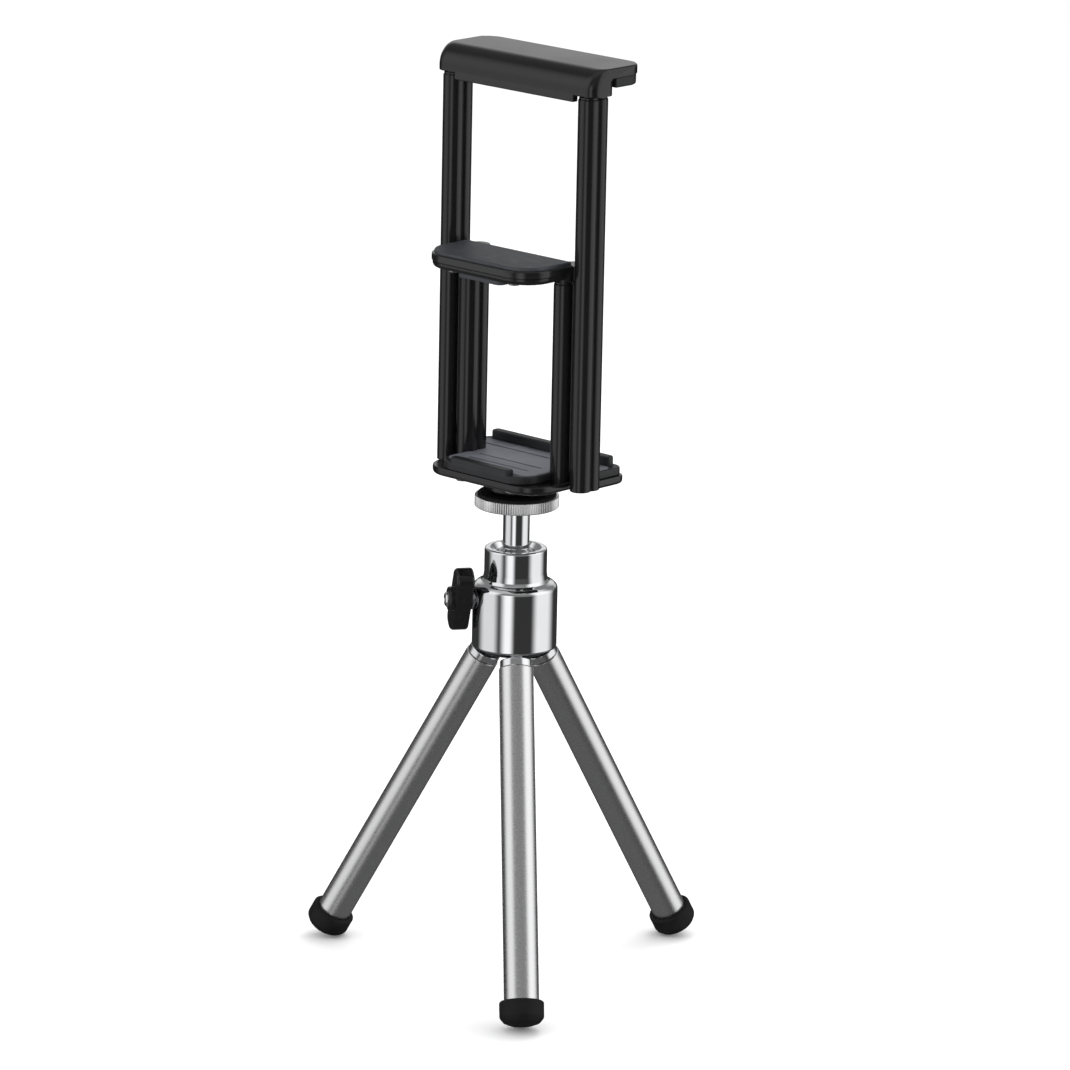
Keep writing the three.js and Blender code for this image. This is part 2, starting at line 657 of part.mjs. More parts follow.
function spring(x, top, turns) {
  const low = POST_LOW + PLUG_H + WIRE_R + SEAT;
  const path = new Helix(SPRING_R, low, top - WIRE_R - SEAT, turns);
  const wire = new THREE.Shape();
  wire.absarc(0, 0, WIRE_R, 0, Math.PI * 2, false);
  const options = {
    steps: turns * SPRING_STEPS, curveSegments: CORNER, bevelEnabled: false, extrudePath: path,
  };
  const coil = new THREE.ExtrudeGeometry(wire, options);
  coil.translate(x, -BARREL_PITCH / 2, 0);
  return solid(coil);
}

function addPosts() {
  for (const [side, sign] of [['left', -1], ['right', 1]]) {
    const outer = sign * OUTER_POST_X;
    const inner = sign * INNER_POST_X;
    const outerTop = TABLET_LOW + SOCKET_DEPTH;
    const innerTop = PHONE_JAW_Z + PHONE_SOCKET;
    add(`outer_post_${side}`, post(outer, OUTER_POST_TOP), glossBlack);
    add(`inner_post_${side}`, post(inner, INNER_POST_TOP), glossBlack);
    add(`outer_post_collar_${side}`, postCollar(outer, OUTER_POST_TOP), satinBlack);
    add(`inner_post_collar_${side}`, postCollar(inner, INNER_POST_TOP), satinBlack);
    add(`outer_post_plug_${side}`, postPlug(outer), satinBlack);
    add(`inner_post_plug_${side}`, postPlug(inner), satinBlack);
    add(`outer_slide_${side}`, slide(outer, outerTop), steel);
    add(`inner_slide_${side}`, slide(inner, innerTop), steel);
    add(`outer_spring_${side}`, spring(outer, outerTop, OUTER_TURNS), steel);
    add(`inner_spring_${side}`, spring(inner, innerTop, INNER_TURNS), steel);
  }
}

const postHoles = (low, high) => [-OUTER_POST_X, -INNER_POST_X, INNER_POST_X, OUTER_POST_X]
  .map((x) => barrels(BARREL_R + SEAT, x, low, high));

// ---------------------------------------------------------------- base
function baseOutline(nearHalf, farHalf, inset, trim = 0) {
  const near = NEAR_Y + inset + trim;
  const far = FAR_Y - inset - trim;
  const a = nearHalf - trim;
  const b = farHalf - trim;
  const nearR = NEAR_R - trim;
  const farR = FAR_R - trim;
  return outline([
    [-a, near, nearR], [a, near, nearR], [a, STEP_Y + trim, 0], [b, STEP_Y + trim, 0],
    [b, far, farR], [-b, far, farR], [-b, STEP_Y + trim, 0], [-a, STEP_Y + trim, 0],
  ]);
}

// A screw with its head at the bottom, pointing up.
function smallScrew(x, y, headLow) {
  const shoulder = headLow + SMALL_HEAD_H;
  return turned([
    [0, headLow], [SMALL_HEAD_R - EDGE, headLow], [SMALL_HEAD_R, headLow + EDGE],
    [SMALL_HEAD_R, shoulder], [SMALL_SCREW_R, shoulder], [SMALL_SCREW_R, shoulder + SMALL_SCREW_L],
    [0, shoulder + SMALL_SCREW_L],
  ], PIN_FACETS).translate([x, y, 0]);
}

const screwHole = (x, y, low, high) =>
  rod(SMALL_SCREW_R + SEAT, low, high, PIN_FACETS).translate([x, y, 0]);

function addBase() {
  const split = BASE_LOW + SHELL_H;
  const top = split + PLATE_H;
  const screwX = [-BASE_SCREW_X, BASE_SCREW_X];
  const holes = screwX.map((x) => screwHole(x, BASE_SCREW_Y, BASE_LOW - OVER, split + PLATE_SCREW));

  const skin = join(
    prism(baseOutline(NEAR_HALF, FAR_HALF, 0), BASE_LOW, split),
    rod(BOSS_R, BOSS_LOW, BASE_LOW + OVER, ROUND),
  );
  const pocketHalf = INNER_POST_X - BARREL_R - SHELL_WALL;
  const pocket = roundedBar(
    -pocketHalf, pocketHalf, NEAR_Y + POCKET_NEAR, FAR_Y - SHELL_WALL, POCKET_R,
  );
  const shell = cut(
    skin,
    prism(pocket, BASE_LOW + SHELL_FLOOR, split + OVER),
    rod(INSERT_R + SEAT, BOSS_LOW - OVER, split + OVER, FINE),
    ...postHoles(BASE_LOW - OVER, split + OVER),
    ...holes,
  );
  add('base_shell', shell, satinBlack);

  const lipNear = NEAR_Y + PLATE_INSET;
  const lipFar = FAR_Y - PLATE_INSET - FAR_LIP_SET;
  const padShape = baseOutline(PLATE_NEAR_HALF, PLATE_FAR_HALF, PLATE_INSET, PAD_MARGIN);
  const reach = PLATE_FAR_HALF + OVER;
  const padRoom = roundedBar(-reach, reach, lipNear + NEAR_LIP_W, lipFar - FAR_LIP_W, 0);
  const padBody = prism(padShape, top - PAD_T, top + SEAT).intersect(
    prism(padRoom, top - PAD_T - OVER, top + OVER),
  );
  const plate = cut(
    join(
      prism(baseOutline(PLATE_NEAR_HALF, PLATE_FAR_HALF, PLATE_INSET), split + GLUE, top),
      prism(roundedBar(-NEAR_LIP_HALF, NEAR_LIP_HALF, lipNear, lipNear + NEAR_LIP_W, LIP_CORNER),
        split + OVER, top + NEAR_LIP_H),
      prism(roundedBar(-FAR_LIP_HALF, FAR_LIP_HALF, lipFar - FAR_LIP_W, lipFar, LIP_CORNER),
        split + OVER, top + FAR_LIP_H),
    ),
    padBody,
    ...postHoles(BASE_LOW - OVER, top + OVER),
    ...holes,
  );
  add('base_plate', plate, satinBlack);

  const padPlan = baseOutline(PLATE_NEAR_HALF, PLATE_FAR_HALF, PLATE_INSET, PAD_MARGIN + SEAT);
  const padSpan = roundedBar(
    -reach, reach, lipNear + NEAR_LIP_W + SEAT, lipFar - FAR_LIP_W - SEAT, 0,
  );
  const grooves = GROOVES.map(([y, half]) =>
    block(-half, half, y - GROOVE_W / 2, y + GROOVE_W / 2, top - GROOVE_DEPTH, top + OVER));
  const pad = cut(
    prism(padPlan, top - PAD_T + GLUE, top).intersect(prism(padSpan, top - PAD_T, top + OVER)),
    ...postHoles(BASE_LOW - OVER, top + OVER),
    ...grooves,
  );
  add('base_pad', pad, rubber);

  const bore = STUD_R + RUN;
  const insertRim = [bore, INSERT_LOW];
  add('threaded_insert', turned([
    insertRim, [INSERT_R, INSERT_LOW], [INSERT_R, INSERT_LOW + INSERT_H],
    [bore, INSERT_LOW + INSERT_H], insertRim,
  ], FINE), brass);
  screwX.forEach((x, i) => {
    add(`base_screw_${i + 1}`, smallScrew(x, BASE_SCREW_Y, BASE_LOW - SMALL_HEAD_H), steel);
  });
}

// ---------------------------------------------------------------- phone jaw
function addPhoneJaw() {
  const low = PHONE_JAW_Z;
  const split = low + PHONE_SHELL_H;
  const screwX = [-PHONE_SCREW_X, PHONE_SCREW_X];
  const near = PHONE_NEAR_Y;
  const half = PHONE_HALF;
  const plan = outline([
    [-half, near, PHONE_R], [half, near, PHONE_R], [half, PHONE_FAR_Y, 0], [-half, PHONE_FAR_Y, 0],
  ]);
  const posts = [-INNER_POST_X, INNER_POST_X];
  const cavity = roundedBar(
    -PHONE_CAVITY_HALF, PHONE_CAVITY_HALF, near + PHONE_WALL, PHONE_FAR_Y - PHONE_WALL,
    PHONE_CAVITY_R,
  );
  const bosses = screwX.map((x) =>
    rod(SMALL_HEAD_R, low + PHONE_FLOOR / 2, split, PIN_FACETS).translate([x, PHONE_SCREW_Y, 0]));
  const shell = cut(
    join(
      cut(prism(plan, low, split), prism(cavity, low + PHONE_FLOOR, split + OVER)),
      ...bosses,
      ...posts.map((x) => barrels(PHONE_CAP_R, x, low - PHONE_CAP_DROP, split)),
    ),
    ...posts.map((x) => barrels(SLIDE_R + SEAT, x, low - OVER, low + PHONE_SOCKET + SEAT)),
    ...screwX.map((x) => screwHole(x, PHONE_SCREW_Y, low - OVER, split + OVER)),
  );
  add('phone_jaw_shell', shell, glossBlack);

  const inset = PHONE_COVER_INSET;
  const coverR = PHONE_R - inset;
  const coverTop = split + SEAT + PHONE_COVER_H;
  const coverPlan = outline([
    [-half + inset, near + inset, coverR], [half - inset, near + inset, coverR],
    [half - inset, PHONE_FAR_Y - SEAT, 0], [-half + inset, PHONE_FAR_Y - SEAT, 0],
  ]);
  const cover = cut(
    prism(coverPlan, split + SEAT, coverTop),
    ...screwX.map((x) => screwHole(x, PHONE_SCREW_Y, split - OVER, split + PHONE_COVER_H / 2)),
  );
  add('phone_jaw_cover', cover, satinBlack);

  const [padNear, padFar] = PHONE_PAD_Y;
  const padPlan = roundedBar(-PHONE_PAD_HALF, PHONE_PAD_HALF, padNear, padFar, JAW_PAD_R);
  add('phone_jaw_pad', prism(padPlan, low - PHONE_PAD_T, low - GLUE), rubber);
  screwX.forEach((x, i) => {
    const body = smallScrew(x, PHONE_SCREW_Y, low - SMALL_HEAD_H - GLUE);
    add(`phone_jaw_screw_${i + 1}`, body, steel);
  });
}

// ---------------------------------------------------------------- tablet jaw
// The section is drawn in Y and Z, then run along X.
function alongX(shape, half, facets = 2 * CORNER) {
  return prism(shape, -half, half, facets).rotate([90, 0, 0]).rotate([0, 0, 90]);
}

function tabletSection(trim = 0) {
  const near = TABLET_NEAR_Y + trim;
  const top = TABLET_TOP - trim;
  const arc = TABLET_ARC - trim;
  const shape = new THREE.Shape();
  shape.moveTo(near, TABLET_LOW);
  shape.lineTo(WEB_Y - trim, TABLET_LOW);
  if (trim === 0) {
    const roll = TABLET_FAR_Y - TABLET_ROLL;
    shape.lineTo(WEB_Y, TABLET_LAYER_Z);
    shape.lineTo(TABLET_FAR_Y, TABLET_LAYER_Z);
    shape.lineTo(TABLET_FAR_Y, top - TABLET_ROLL);
    shape.absarc(roll, top - TABLET_ROLL, TABLET_ROLL, 0, Math.PI / 2, false);
  } else {
    shape.lineTo(WEB_Y - trim, top);
  }
  shape.lineTo(near + arc, top);
  shape.absarc(near + arc, top - arc, arc, Math.PI / 2, Math.PI, false);
  shape.closePath();
  return shape;
}

function addTabletJaw() {
  const screwX = [-TABLET_SCREW_X, TABLET_SCREW_X];
  const posts = [-OUTER_POST_X, OUTER_POST_X];
  const skirtHalf = OUTER_POST_X - BARREL_R - SKIRT_CLEAR;
  const plan = outline([
    [-TABLET_HALF, TABLET_NEAR_Y, TABLET_NEAR_R], [TABLET_HALF, TABLET_NEAR_Y, TABLET_NEAR_R],
    [TABLET_HALF, TABLET_FAR_Y, TABLET_FAR_R], [-TABLET_HALF, TABLET_FAR_Y, TABLET_FAR_R],
  ]);
  const blockPlan = outline([
    [-TABLET_HALF, TABLET_NEAR_Y, TABLET_NEAR_R], [TABLET_HALF, TABLET_NEAR_Y, TABLET_NEAR_R],
    [TABLET_HALF, WEB_Y, WEB_R], [-TABLET_HALF, WEB_Y, WEB_R],
  ]);
  const skin = alongX(tabletSection(), TABLET_HALF + OVER).intersect(
    join(
      prism(blockPlan, TABLET_LOW - OVER, TABLET_TOP),
      prism(plan, TABLET_LAYER_Z, TABLET_TOP + OVER),
    ),
  );
  const skirt = block(-skirtHalf, skirtHalf, TABLET_NEAR_Y, TABLET_NEAR_Y + TABLET_WALL * 1.5,
    TABLET_LOW - SKIRT_DROP, TABLET_LOW + OVER);
  const hollowHalf = skirtHalf - OVER;
  const hollow = alongX(tabletSection(TABLET_WALL), hollowHalf)
    .add(alongX(tabletSection(TABLET_WALL), hollowHalf).translate([0, 0, -SKIRT_DROP - OVER / 2]));
  const cover = cut(
    join(skin, skirt),
    hollow,
    ...posts.map((x) =>
      barrels(SLIDE_R + SEAT, x, TABLET_LOW - OVER, TABLET_LOW + SOCKET_DEPTH + SEAT)),
    ...screwX.map((x) =>
      screwHole(x, TABLET_SCREW_Y, TABLET_LAYER_Z - OVER, TABLET_LAYER_Z + OVER)),
  );
  add('tablet_jaw_cover', cover, glossBlack);

  const inset = TABLET_PLATE_INSET;
  const platePlan = outline([
    [-TABLET_HALF + inset, WEB_Y + SEAT, 0], [TABLET_HALF - inset, WEB_Y + SEAT, 0],
    [TABLET_HALF - inset, TABLET_FAR_Y - inset, TABLET_FAR_R - inset],
    [-TABLET_HALF + inset, TABLET_FAR_Y - inset, TABLET_FAR_R - inset],
  ]);
  const plate = cut(
    prism(platePlan, TABLET_PLATE_Z, TABLET_LAYER_Z - SEAT),
    ...screwX.map((x) =>
      screwHole(x, TABLET_SCREW_Y, TABLET_PLATE_Z - OVER, TABLET_LAYER_Z + OVER)),
  );
  add('tablet_jaw_plate', plate, satinBlack);

  const padHalf = TABLET_SCREW_X - SMALL_HEAD_R - TABLET_PAD_MARGIN;
  const padPlan = roundedBar(
    -padHalf, padHalf, WEB_Y + TABLET_PAD_MARGIN, TABLET_FAR_Y - TABLET_PAD_FAR, JAW_PAD_R,
  );
  const padTop = TABLET_PLATE_Z - GLUE;
  add('tablet_jaw_pad', prism(padPlan, padTop - TABLET_PAD_T, padTop), rubber);
  screwX.forEach((x, i) => {
    const body = smallScrew(x, TABLET_SCREW_Y, TABLET_PLATE_Z - SMALL_HEAD_H - GLUE);
    add(`tablet_jaw_screw_${i + 1}`, body, steel);
  });
}

// ---------------------------------------------------------------- the whole object
add('head_body', headBody(), chrome);
add('leg_hub', legHub(), satinBlack);
add('hub_screw', hubScrew(), steel);
addLegs();
add('ball_seat', ballSeat(), nylon);
add('ball_stem', ballStem(), chrome);
add('stud', stud(), steel);
add('lock_disc', lockDisc(), chrome);
add('disc_pad', discPad(), rubber);
addKnob();
addPosts();
addBase();
addPhoneJaw();
addTabletJaw();

assembly.updateMatrixWorld(true);
const bounds = new THREE.Box3().setFromObject(assembly, true);
const middle = bounds.getCenter(new THREE.Vector3());
assembly.position.set(-middle.x, -middle.y, -bounds.min.z);

export default assembly;
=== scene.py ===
"""Phone and tablet spring clamp on a mini ball-head tripod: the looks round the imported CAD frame."""
import math

import bmesh
import bpy
from mathutils import Matrix, Vector


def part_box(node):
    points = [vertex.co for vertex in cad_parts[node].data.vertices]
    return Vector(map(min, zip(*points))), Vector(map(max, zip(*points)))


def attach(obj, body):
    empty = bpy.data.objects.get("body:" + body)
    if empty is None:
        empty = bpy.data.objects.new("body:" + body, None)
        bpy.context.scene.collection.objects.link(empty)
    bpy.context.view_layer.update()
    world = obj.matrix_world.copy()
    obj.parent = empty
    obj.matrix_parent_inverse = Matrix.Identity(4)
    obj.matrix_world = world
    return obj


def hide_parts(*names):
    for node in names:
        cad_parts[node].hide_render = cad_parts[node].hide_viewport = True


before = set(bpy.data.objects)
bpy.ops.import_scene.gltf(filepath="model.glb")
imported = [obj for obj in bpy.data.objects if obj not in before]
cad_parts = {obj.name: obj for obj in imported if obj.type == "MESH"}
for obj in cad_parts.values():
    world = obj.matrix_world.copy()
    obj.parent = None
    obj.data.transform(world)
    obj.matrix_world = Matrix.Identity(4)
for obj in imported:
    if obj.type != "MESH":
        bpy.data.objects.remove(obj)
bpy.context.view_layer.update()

MM = 0.001
ROUND = 128              # points round a large turned piece
FINE = 64                # points round a small turned piece
ARC = 5                  # steps in a small fillet


# ---------------------------------------------------------------- places, from the frame
def span(node):
    """Lowest and highest corner of a CAD node, in millimetres."""
    low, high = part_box(node)
    return Vector(low) / MM, Vector(high) / MM


def middle(node):
    low, high = span(node)
    return (low + high) / 2


def top_of(node):
    """Height of a node's top, in millimetres."""
    return span(node)[1].z


AXIS = middle("head_body")
SIDES = ("left", "right")
POSTS = {(kind, side): middle(f"{kind}_post_{side}") for kind in ("outer", "inner") for side in SIDES}


# ---------------------------------------------------------------- materials
class Nodes:
    """A short way to wire a node tree."""

    def __init__(self, name):
        self.material = bpy.data.materials.new(name)
        self.material.use_nodes = True
        self.tree = self.material.node_tree
        self.shader = self.tree.nodes["Principled BSDF"]
        self.place = self.add("ShaderNodeTexCoord").outputs["Object"]

    def add(self, kind, **values):
        node = self.tree.nodes.new(kind)
        for key, value in values.items():
            setattr(node, key, value)
        return node

    def link(self, source, target):
        self.tree.links.new(source, target)

    def noise(self, scale, detail=3.0, rough=0.5, stretch=(1, 1, 1)):
        mapping = self.add("ShaderNodeMapping")
        mapping.inputs["Scale"].default_value = stretch
        self.link(self.place, mapping.inputs["Vector"])
        node = self.add("ShaderNodeTexNoise")
        node.inputs["Scale"].default_value = scale
        node.inputs["Detail"].default_value = detail
        node.inputs["Roughness"].default_value = rough
        self.link(mapping.outputs["Vector"], node.inputs["Vector"])
        return node.outputs["Fac"]

    def spread(self, source, low, high, start=0.3, end=0.7):
        node = self.add("ShaderNodeMapRange")
        node.inputs["From Min"].default_value = start
        node.inputs["From Max"].default_value = end
        node.inputs["To Min"].default_value = low
        node.inputs["To Max"].default_value = high
        self.link(source, node.inputs["Value"])
        return node.outputs["Result"]

    def blend(self, factor, first, second):
        node = self.add("ShaderNodeMix", data_type="RGBA")
        node.inputs[6].default_value = (*first, 1)
        node.inputs[7].default_value = (*second, 1)
        self.link(factor, node.inputs[0])
        return node.outputs[2]

    def bump(self, height, strength, distance):
        node = self.add("ShaderNodeBump")
        node.inputs["Strength"].default_value = strength
        node.inputs["Distance"].default_value = distance
        self.link(height, node.inputs["Height"])
        previous = self.shader.inputs["Normal"].links
        if previous:
            self.link(previous[0].from_socket, node.inputs["Normal"])
        self.link(node.outputs["Normal"], self.shader.inputs["Normal"])

    def colour(self, factor, first, second):
        self.link(self.blend(factor, first, second), self.shader.inputs["Base Color"])

    # Painted highlight: a mask from pointiness that is 1 on convex edges, standing in for light catching them.
    def painted_edge_highlights(self, start=0.52, end=0.6):
        geometry = self.add("ShaderNodeNewGeometry")
        return self.spread(geometry.outputs["Pointiness"], 0, 1, start, end)


def chrome():
    """Polished plating: almost a mirror, with faint wipe marks."""
    n = Nodes("chrome")
    n.shader.inputs["Metallic"].default_value = 1
    wipe = n.noise(90, 4, 0.6, (1, 1, 0.25))
    n.link(n.spread(wipe, 0.045, 0.11), n.shader.inputs["Roughness"])
    n.colour(n.noise(160), (0.83, 0.84, 0.86), (0.9, 0.9, 0.91))
    n.bump(n.noise(220, 2), 0.02, 0.0002)
    return n.material


def knurled_chrome():
    """The same plating over fine knurling: softer and brighter than the polished faces."""
    n = Nodes("knurled_chrome")
    n.shader.inputs["Metallic"].default_value = 1
    n.link(n.spread(n.noise(300, 4, 0.6), 0.26, 0.36), n.shader.inputs["Roughness"])
    n.colour(n.noise(160), (0.94, 0.94, 0.94), (0.98, 0.98, 0.98))
    n.bump(n.noise(600, 3), 0.05, 0.0001)
    return n.material


def aluminium():
    """Blasted and anodised tube: satin, with a fine even speckle and barely any lines along its length."""
    n = Nodes("satin_aluminium")
    n.shader.inputs["Metallic"].default_value = 1
    grain = n.noise(1700, 5, 0.75)
    lines = n.noise(700, 3, 0.6, (1, 1, 0.03))
    n.link(n.spread(grain, 0.23, 0.34), n.shader.inputs["Roughness"])
    n.colour(n.spread(grain, 0, 1), (0.8, 0.8, 0.81), (0.93, 0.93, 0.94))
    n.bump(grain, 0.12, 0.0001)
    n.bump(lines, 0.02, 0.0001)
    return n.material


def gloss_plastic():
    """Black moulded plastic with a polished tool finish and a soft waviness."""
    n = Nodes("gloss_black")
    n.shader.inputs["IOR"].default_value = 1.5
    cloud = n.noise(60, 4, 0.55)
    n.link(n.spread(cloud, 0.15, 0.23), n.shader.inputs["Roughness"])
    # Painted highlight: the paler colour on the edges stands in for light catching them.
    n.colour(n.painted_edge_highlights(), (0.006, 0.006, 0.0063), (0.014, 0.014, 0.015))
    n.bump(n.noise(900, 4, 0.6), 0.04, 0.00005)
    n.bump(n.noise(55, 2), 0.04, 0.0003)
    return n.material


def satin_plastic():
    """Charcoal plastic with a fine spark-eroded texture, and a painted highlight that makes it a little paler
    on its edges.
    """
    n = Nodes("satin_charcoal")
    n.shader.inputs["IOR"].default_value = 1.5
    grain = n.noise(2400, 4, 0.65)
    n.link(n.spread(n.noise(120, 4), 0.42, 0.55), n.shader.inputs["Roughness"])
    # Painted highlight: the edges are a little paler than the flat faces, standing in for light catching them.
    n.colour(n.painted_edge_highlights(), (0.009, 0.0095, 0.011), (0.02, 0.021, 0.024))
    n.bump(grain, 0.25, 0.0001)
    return n.material


def pad_rubber(name, dark, pale):
    """Soft grip rubber: matt and lightly dusty."""
    n = Nodes(name)
    dust = n.noise(240, 5, 0.6)
    n.link(n.spread(dust, 0.45, 0.62), n.shader.inputs["Roughness"])
    n.colour(n.spread(dust, 0, 1), dark, pale)
    n.bump(n.noise(1800, 4, 0.6), 0.3, 0.0001)
    return n.material


def rubber():
    """Moulded black rubber of the feet and the disc's pad."""
    n = Nodes("black_rubber")
    n.shader.inputs["Specular IOR Level"].default_value = 0.25
    scuff = n.noise(150, 5, 0.6)
    n.link(n.spread(scuff, 0.55, 0.8), n.shader.inputs["Roughness"])
    n.colour(n.spread(scuff, 0, 1), (0.003, 0.003, 0.003), (0.009, 0.009, 0.009))
    n.bump(n.noise(900, 5, 0.6), 0.35, 0.0001)
    return n.material


def steel():
    """Zinc-plated small hardware and drawn slides."""
    n = Nodes("plated_steel")
    n.shader.inputs["Metallic"].default_value = 1
    n.link(n.spread(n.noise(400, 4, 0.6, (1, 1, 0.1)), 0.22, 0.36), n.shader.inputs["Roughness"])
    n.colour(n.noise(90), (0.5, 0.5, 0.52), (0.66, 0.66, 0.68))
    n.bump(n.noise(800, 3), 0.08, 0.0001)
    return n.material


def brass():
    n = Nodes("turned_brass")
    n.shader.inputs["Metallic"].default_value = 1
    n.link(n.spread(n.noise(300), 0.25, 0.4), n.shader.inputs["Roughness"])
    n.colour(n.noise(120), (0.66, 0.5, 0.22), (0.76, 0.6, 0.3))
    n.bump(n.noise(700, 3), 0.08, 0.0001)
    return n.material


def nylon():
    n = Nodes("nylon")
    n.link(n.spread(n.noise(200), 0.4, 0.55), n.shader.inputs["Roughness"])
    n.colour(n.noise(90), (0.5, 0.49, 0.45), (0.58, 0.57, 0.53))
    n.bump(n.noise(900, 3), 0.1, 0.0001)
    return n.material


CHROME = chrome()
KNURLED = knurled_chrome()
ALUMINIUM = aluminium()
GLOSS = gloss_plastic()
SATIN = satin_plastic()
PAD = pad_rubber("pad_rubber", (0.026, 0.028, 0.034), (0.042, 0.045, 0.053))
BASE_PAD = pad_rubber("base_pad_rubber", (0.085, 0.09, 0.106), (0.135, 0.142, 0.165))
RUBBER = rubber()
STEEL = steel()
BRASS = brass()
NYLON = nylon()


# ---------------------------------------------------------------- outlines and profiles
def circle(count=ROUND):
    """Outline whose offset is its radius."""
    def at(radius):
        return [(radius * math.cos(2 * math.pi * i / count), radius * math.sin(2 * math.pi * i / count))
                for i in range(count)]
    return at


def knurled(teeth, depth, start, per_tooth=6):
    """A circle whose outermost loops, from radius start outwards, carry straight knurling."""
    count = teeth * per_tooth

    def at(radius):
        points = []
        for i in range(count):
            angle = 2 * math.pi * i / count
            dip = depth * (0.5 - 0.5 * math.cos(teeth * angle)) ** 1.5 if radius >= start else 0
            points.append(((radius - dip) * math.cos(angle), (radius - dip) * math.sin(angle)))
        return points
    return at


def double_barrel(pitch, count=28):
    """Two overlapping circles one behind the other; the offset is their radius."""
    def at(radius):
        half = pitch / 2
        meet = math.asin(min(1, half / radius))
        points = []
        for sign in (1, -1):
            for i in range(count):
                angle = -meet + (math.pi + 2 * meet) * i / count
                points.append((sign * radius * math.cos(angle), sign * (half + radius * math.sin(angle))))
        return points
    return at


def plan(corners, steps=8):
    """Outline through corners [x, y, radius], anticlockwise; the offset moves its edges inwards."""
    count = len(corners)

    def edge(i):
        a = Vector(corners[i][:2])
        b = Vector(corners[(i + 1) % count][:2])
        return a, (b - a).normalized()

    def at(inset):
        points = []
        for i in range(count):
            a, along = edge(i - 1)
            b, ahead = edge(i)
            turn = along.x * ahead.y - along.y * ahead.x
            a = a + inset * Vector((-along.y, along.x))
            b = b + inset * Vector((-ahead.y, ahead.x))
            gap = b - a
            corner = a + along * ((gap.x * ahead.y - gap.y * ahead.x) / turn)
            radius = max(corners[i][2] - math.copysign(inset, turn), 0.02)
            bend = math.atan2(turn, along.dot(ahead))
            reach = radius * math.tan(abs(bend) / 2)
            start = corner - along * reach
            inward = Vector((-along.y, along.x)) * math.copysign(radius, turn)
            hub = start + inward
            first = math.atan2(-inward.y, -inward.x)
            for k in range(steps + 1):
                angle = first + bend * k / steps
                points.append((hub.x + radius * math.cos(angle), hub.y + radius * math.sin(angle)))
        return points
    return at


def bar(x0, x1, y0, y1, radius, steps=8):
    return plan([(x0, y0, radius), (x1, y0, radius), (x1, y1, radius), (x0, y1, radius)], steps)


def filleted(points, closed=False, steps=ARC):
    """A profile [(offset, height, fillet radius)] with its corners rounded."""
    result = []
    count = len(points)
    for i, (x, y, radius) in enumerate(points):
        if radius <= 0 or (not closed and i in (0, count - 1)):
            result.append((x, y))
            continue
        here = Vector((x, y))
        back = (Vector(points[i - 1][:2]) - here)
        ahead = (Vector(points[(i + 1) % count][:2]) - here)
        half = back.angle(ahead) / 2
        reach = min(radius / math.tan(half), back.length * 0.49, ahead.length * 0.49)
        radius = reach * math.tan(half)
        start = here + back.normalized() * reach
        hub = here + (back.normalized() + ahead.normalized()).normalized() * (radius / math.sin(half))
        first = math.atan2(start.y - hub.y, start.x - hub.x)
        end = here + ahead.normalized() * reach
        last = math.atan2(end.y - hub.y, end.x - hub.x)
        sweep = (last - first + math.pi) % (2 * math.pi) - math.pi
        for k in range(steps + 1):
            angle = first + sweep * k / steps
            result.append((hub.x + radius * math.cos(angle), hub.y + radius * math.sin(angle)))
    return result


def slab(low, high, bottom, top, steps=4):
    """Profile of a flat piece with rounded lower and upper edges; offsets are insets."""
    points = [(bottom * (1 - math.sin(a)), low + bottom * (1 - math.cos(a)))
              for a in (math.pi / 2 * k / steps for k in range(steps + 1))]
    points += [(top * (1 - math.cos(a)), high - top * (1 - math.sin(a)))
               for a in (math.pi / 2 * k / steps for k in range(steps + 1))]
    return points


# ---------------------------------------------------------------- meshes
def finish_mesh(name, vertices, faces, material, sharp=38):
    mesh = bpy.data.meshes.new(name)
    mesh.from_pydata([Vector(v) * MM for v in vertices], [], faces)
    mesh.validate()
    obj = bpy.data.objects.new(name, mesh)
    bpy.context.scene.collection.objects.link(obj)
    mesh.materials.append(material)
    bm = bmesh.new()
    bm.from_mesh(mesh)
    bmesh.ops.remove_doubles(bm, verts=bm.verts, dist=1e-7)
    bmesh.ops.recalc_face_normals(bm, faces=bm.faces)
    bm.to_mesh(mesh)
    bm.free()
    mesh.shade_smooth()
    mesh.set_sharp_from_angle(angle=math.radians(sharp))
    weighted = obj.modifiers.new("weighted", "WEIGHTED_NORMAL")
    weighted.keep_sharp = True
    return obj


def loft(name, outline, profile, material, at=(0, 0), matrix=None, closed=False, sharp=38):
    """Stacks the outline at each (offset, height) of the profile, and closes the ends or the section."""
    vertices = []
    faces = []
    rings = []
    for offset, height in profile:
        ring = []
        for x, y in outline(offset):
            ring.append(len(vertices))
            vertices.append(Vector((x + at[0], y + at[1], height)))
        rings.append(ring)
    count = len(rings[0])
    pairs = list(zip(rings, rings[1:]))
    if closed:
        pairs.append((rings[-1], rings[0]))
    for lower, upper in pairs:
        for i in range(count):
            j = (i + 1) % count
            faces.append((lower[i], lower[j], upper[j], upper[i]))
    if not closed:
        faces.append(tuple(reversed(rings[0])))
        faces.append(tuple(rings[-1]))
    if matrix is not None:
        vertices = [matrix @ v for v in vertices]
    return finish_mesh(name, vertices, faces, material, sharp)


def turned(name, profile, material, at=None, matrix=None, closed=False, count=ROUND, steps=ARC, outline=None):
    """A turned piece: profile [(radius, height, fillet)], upright at a place or placed by a matrix."""
    shape = filleted([(max(r, 0.001), z, f) for r, z, f in profile], closed, steps)
    place = (AXIS.x, AXIS.y) if at is None and matrix is None else (at or (0, 0))
    return loft(name, outline or circle(count), shape, material, place, matrix, closed)


def piece(obj, body, slot, *nodes):
    """Hangs a finished piece on its body, in place of the CAD nodes named."""
    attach(obj, body)
    if nodes:
        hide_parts(*nodes)
    return obj


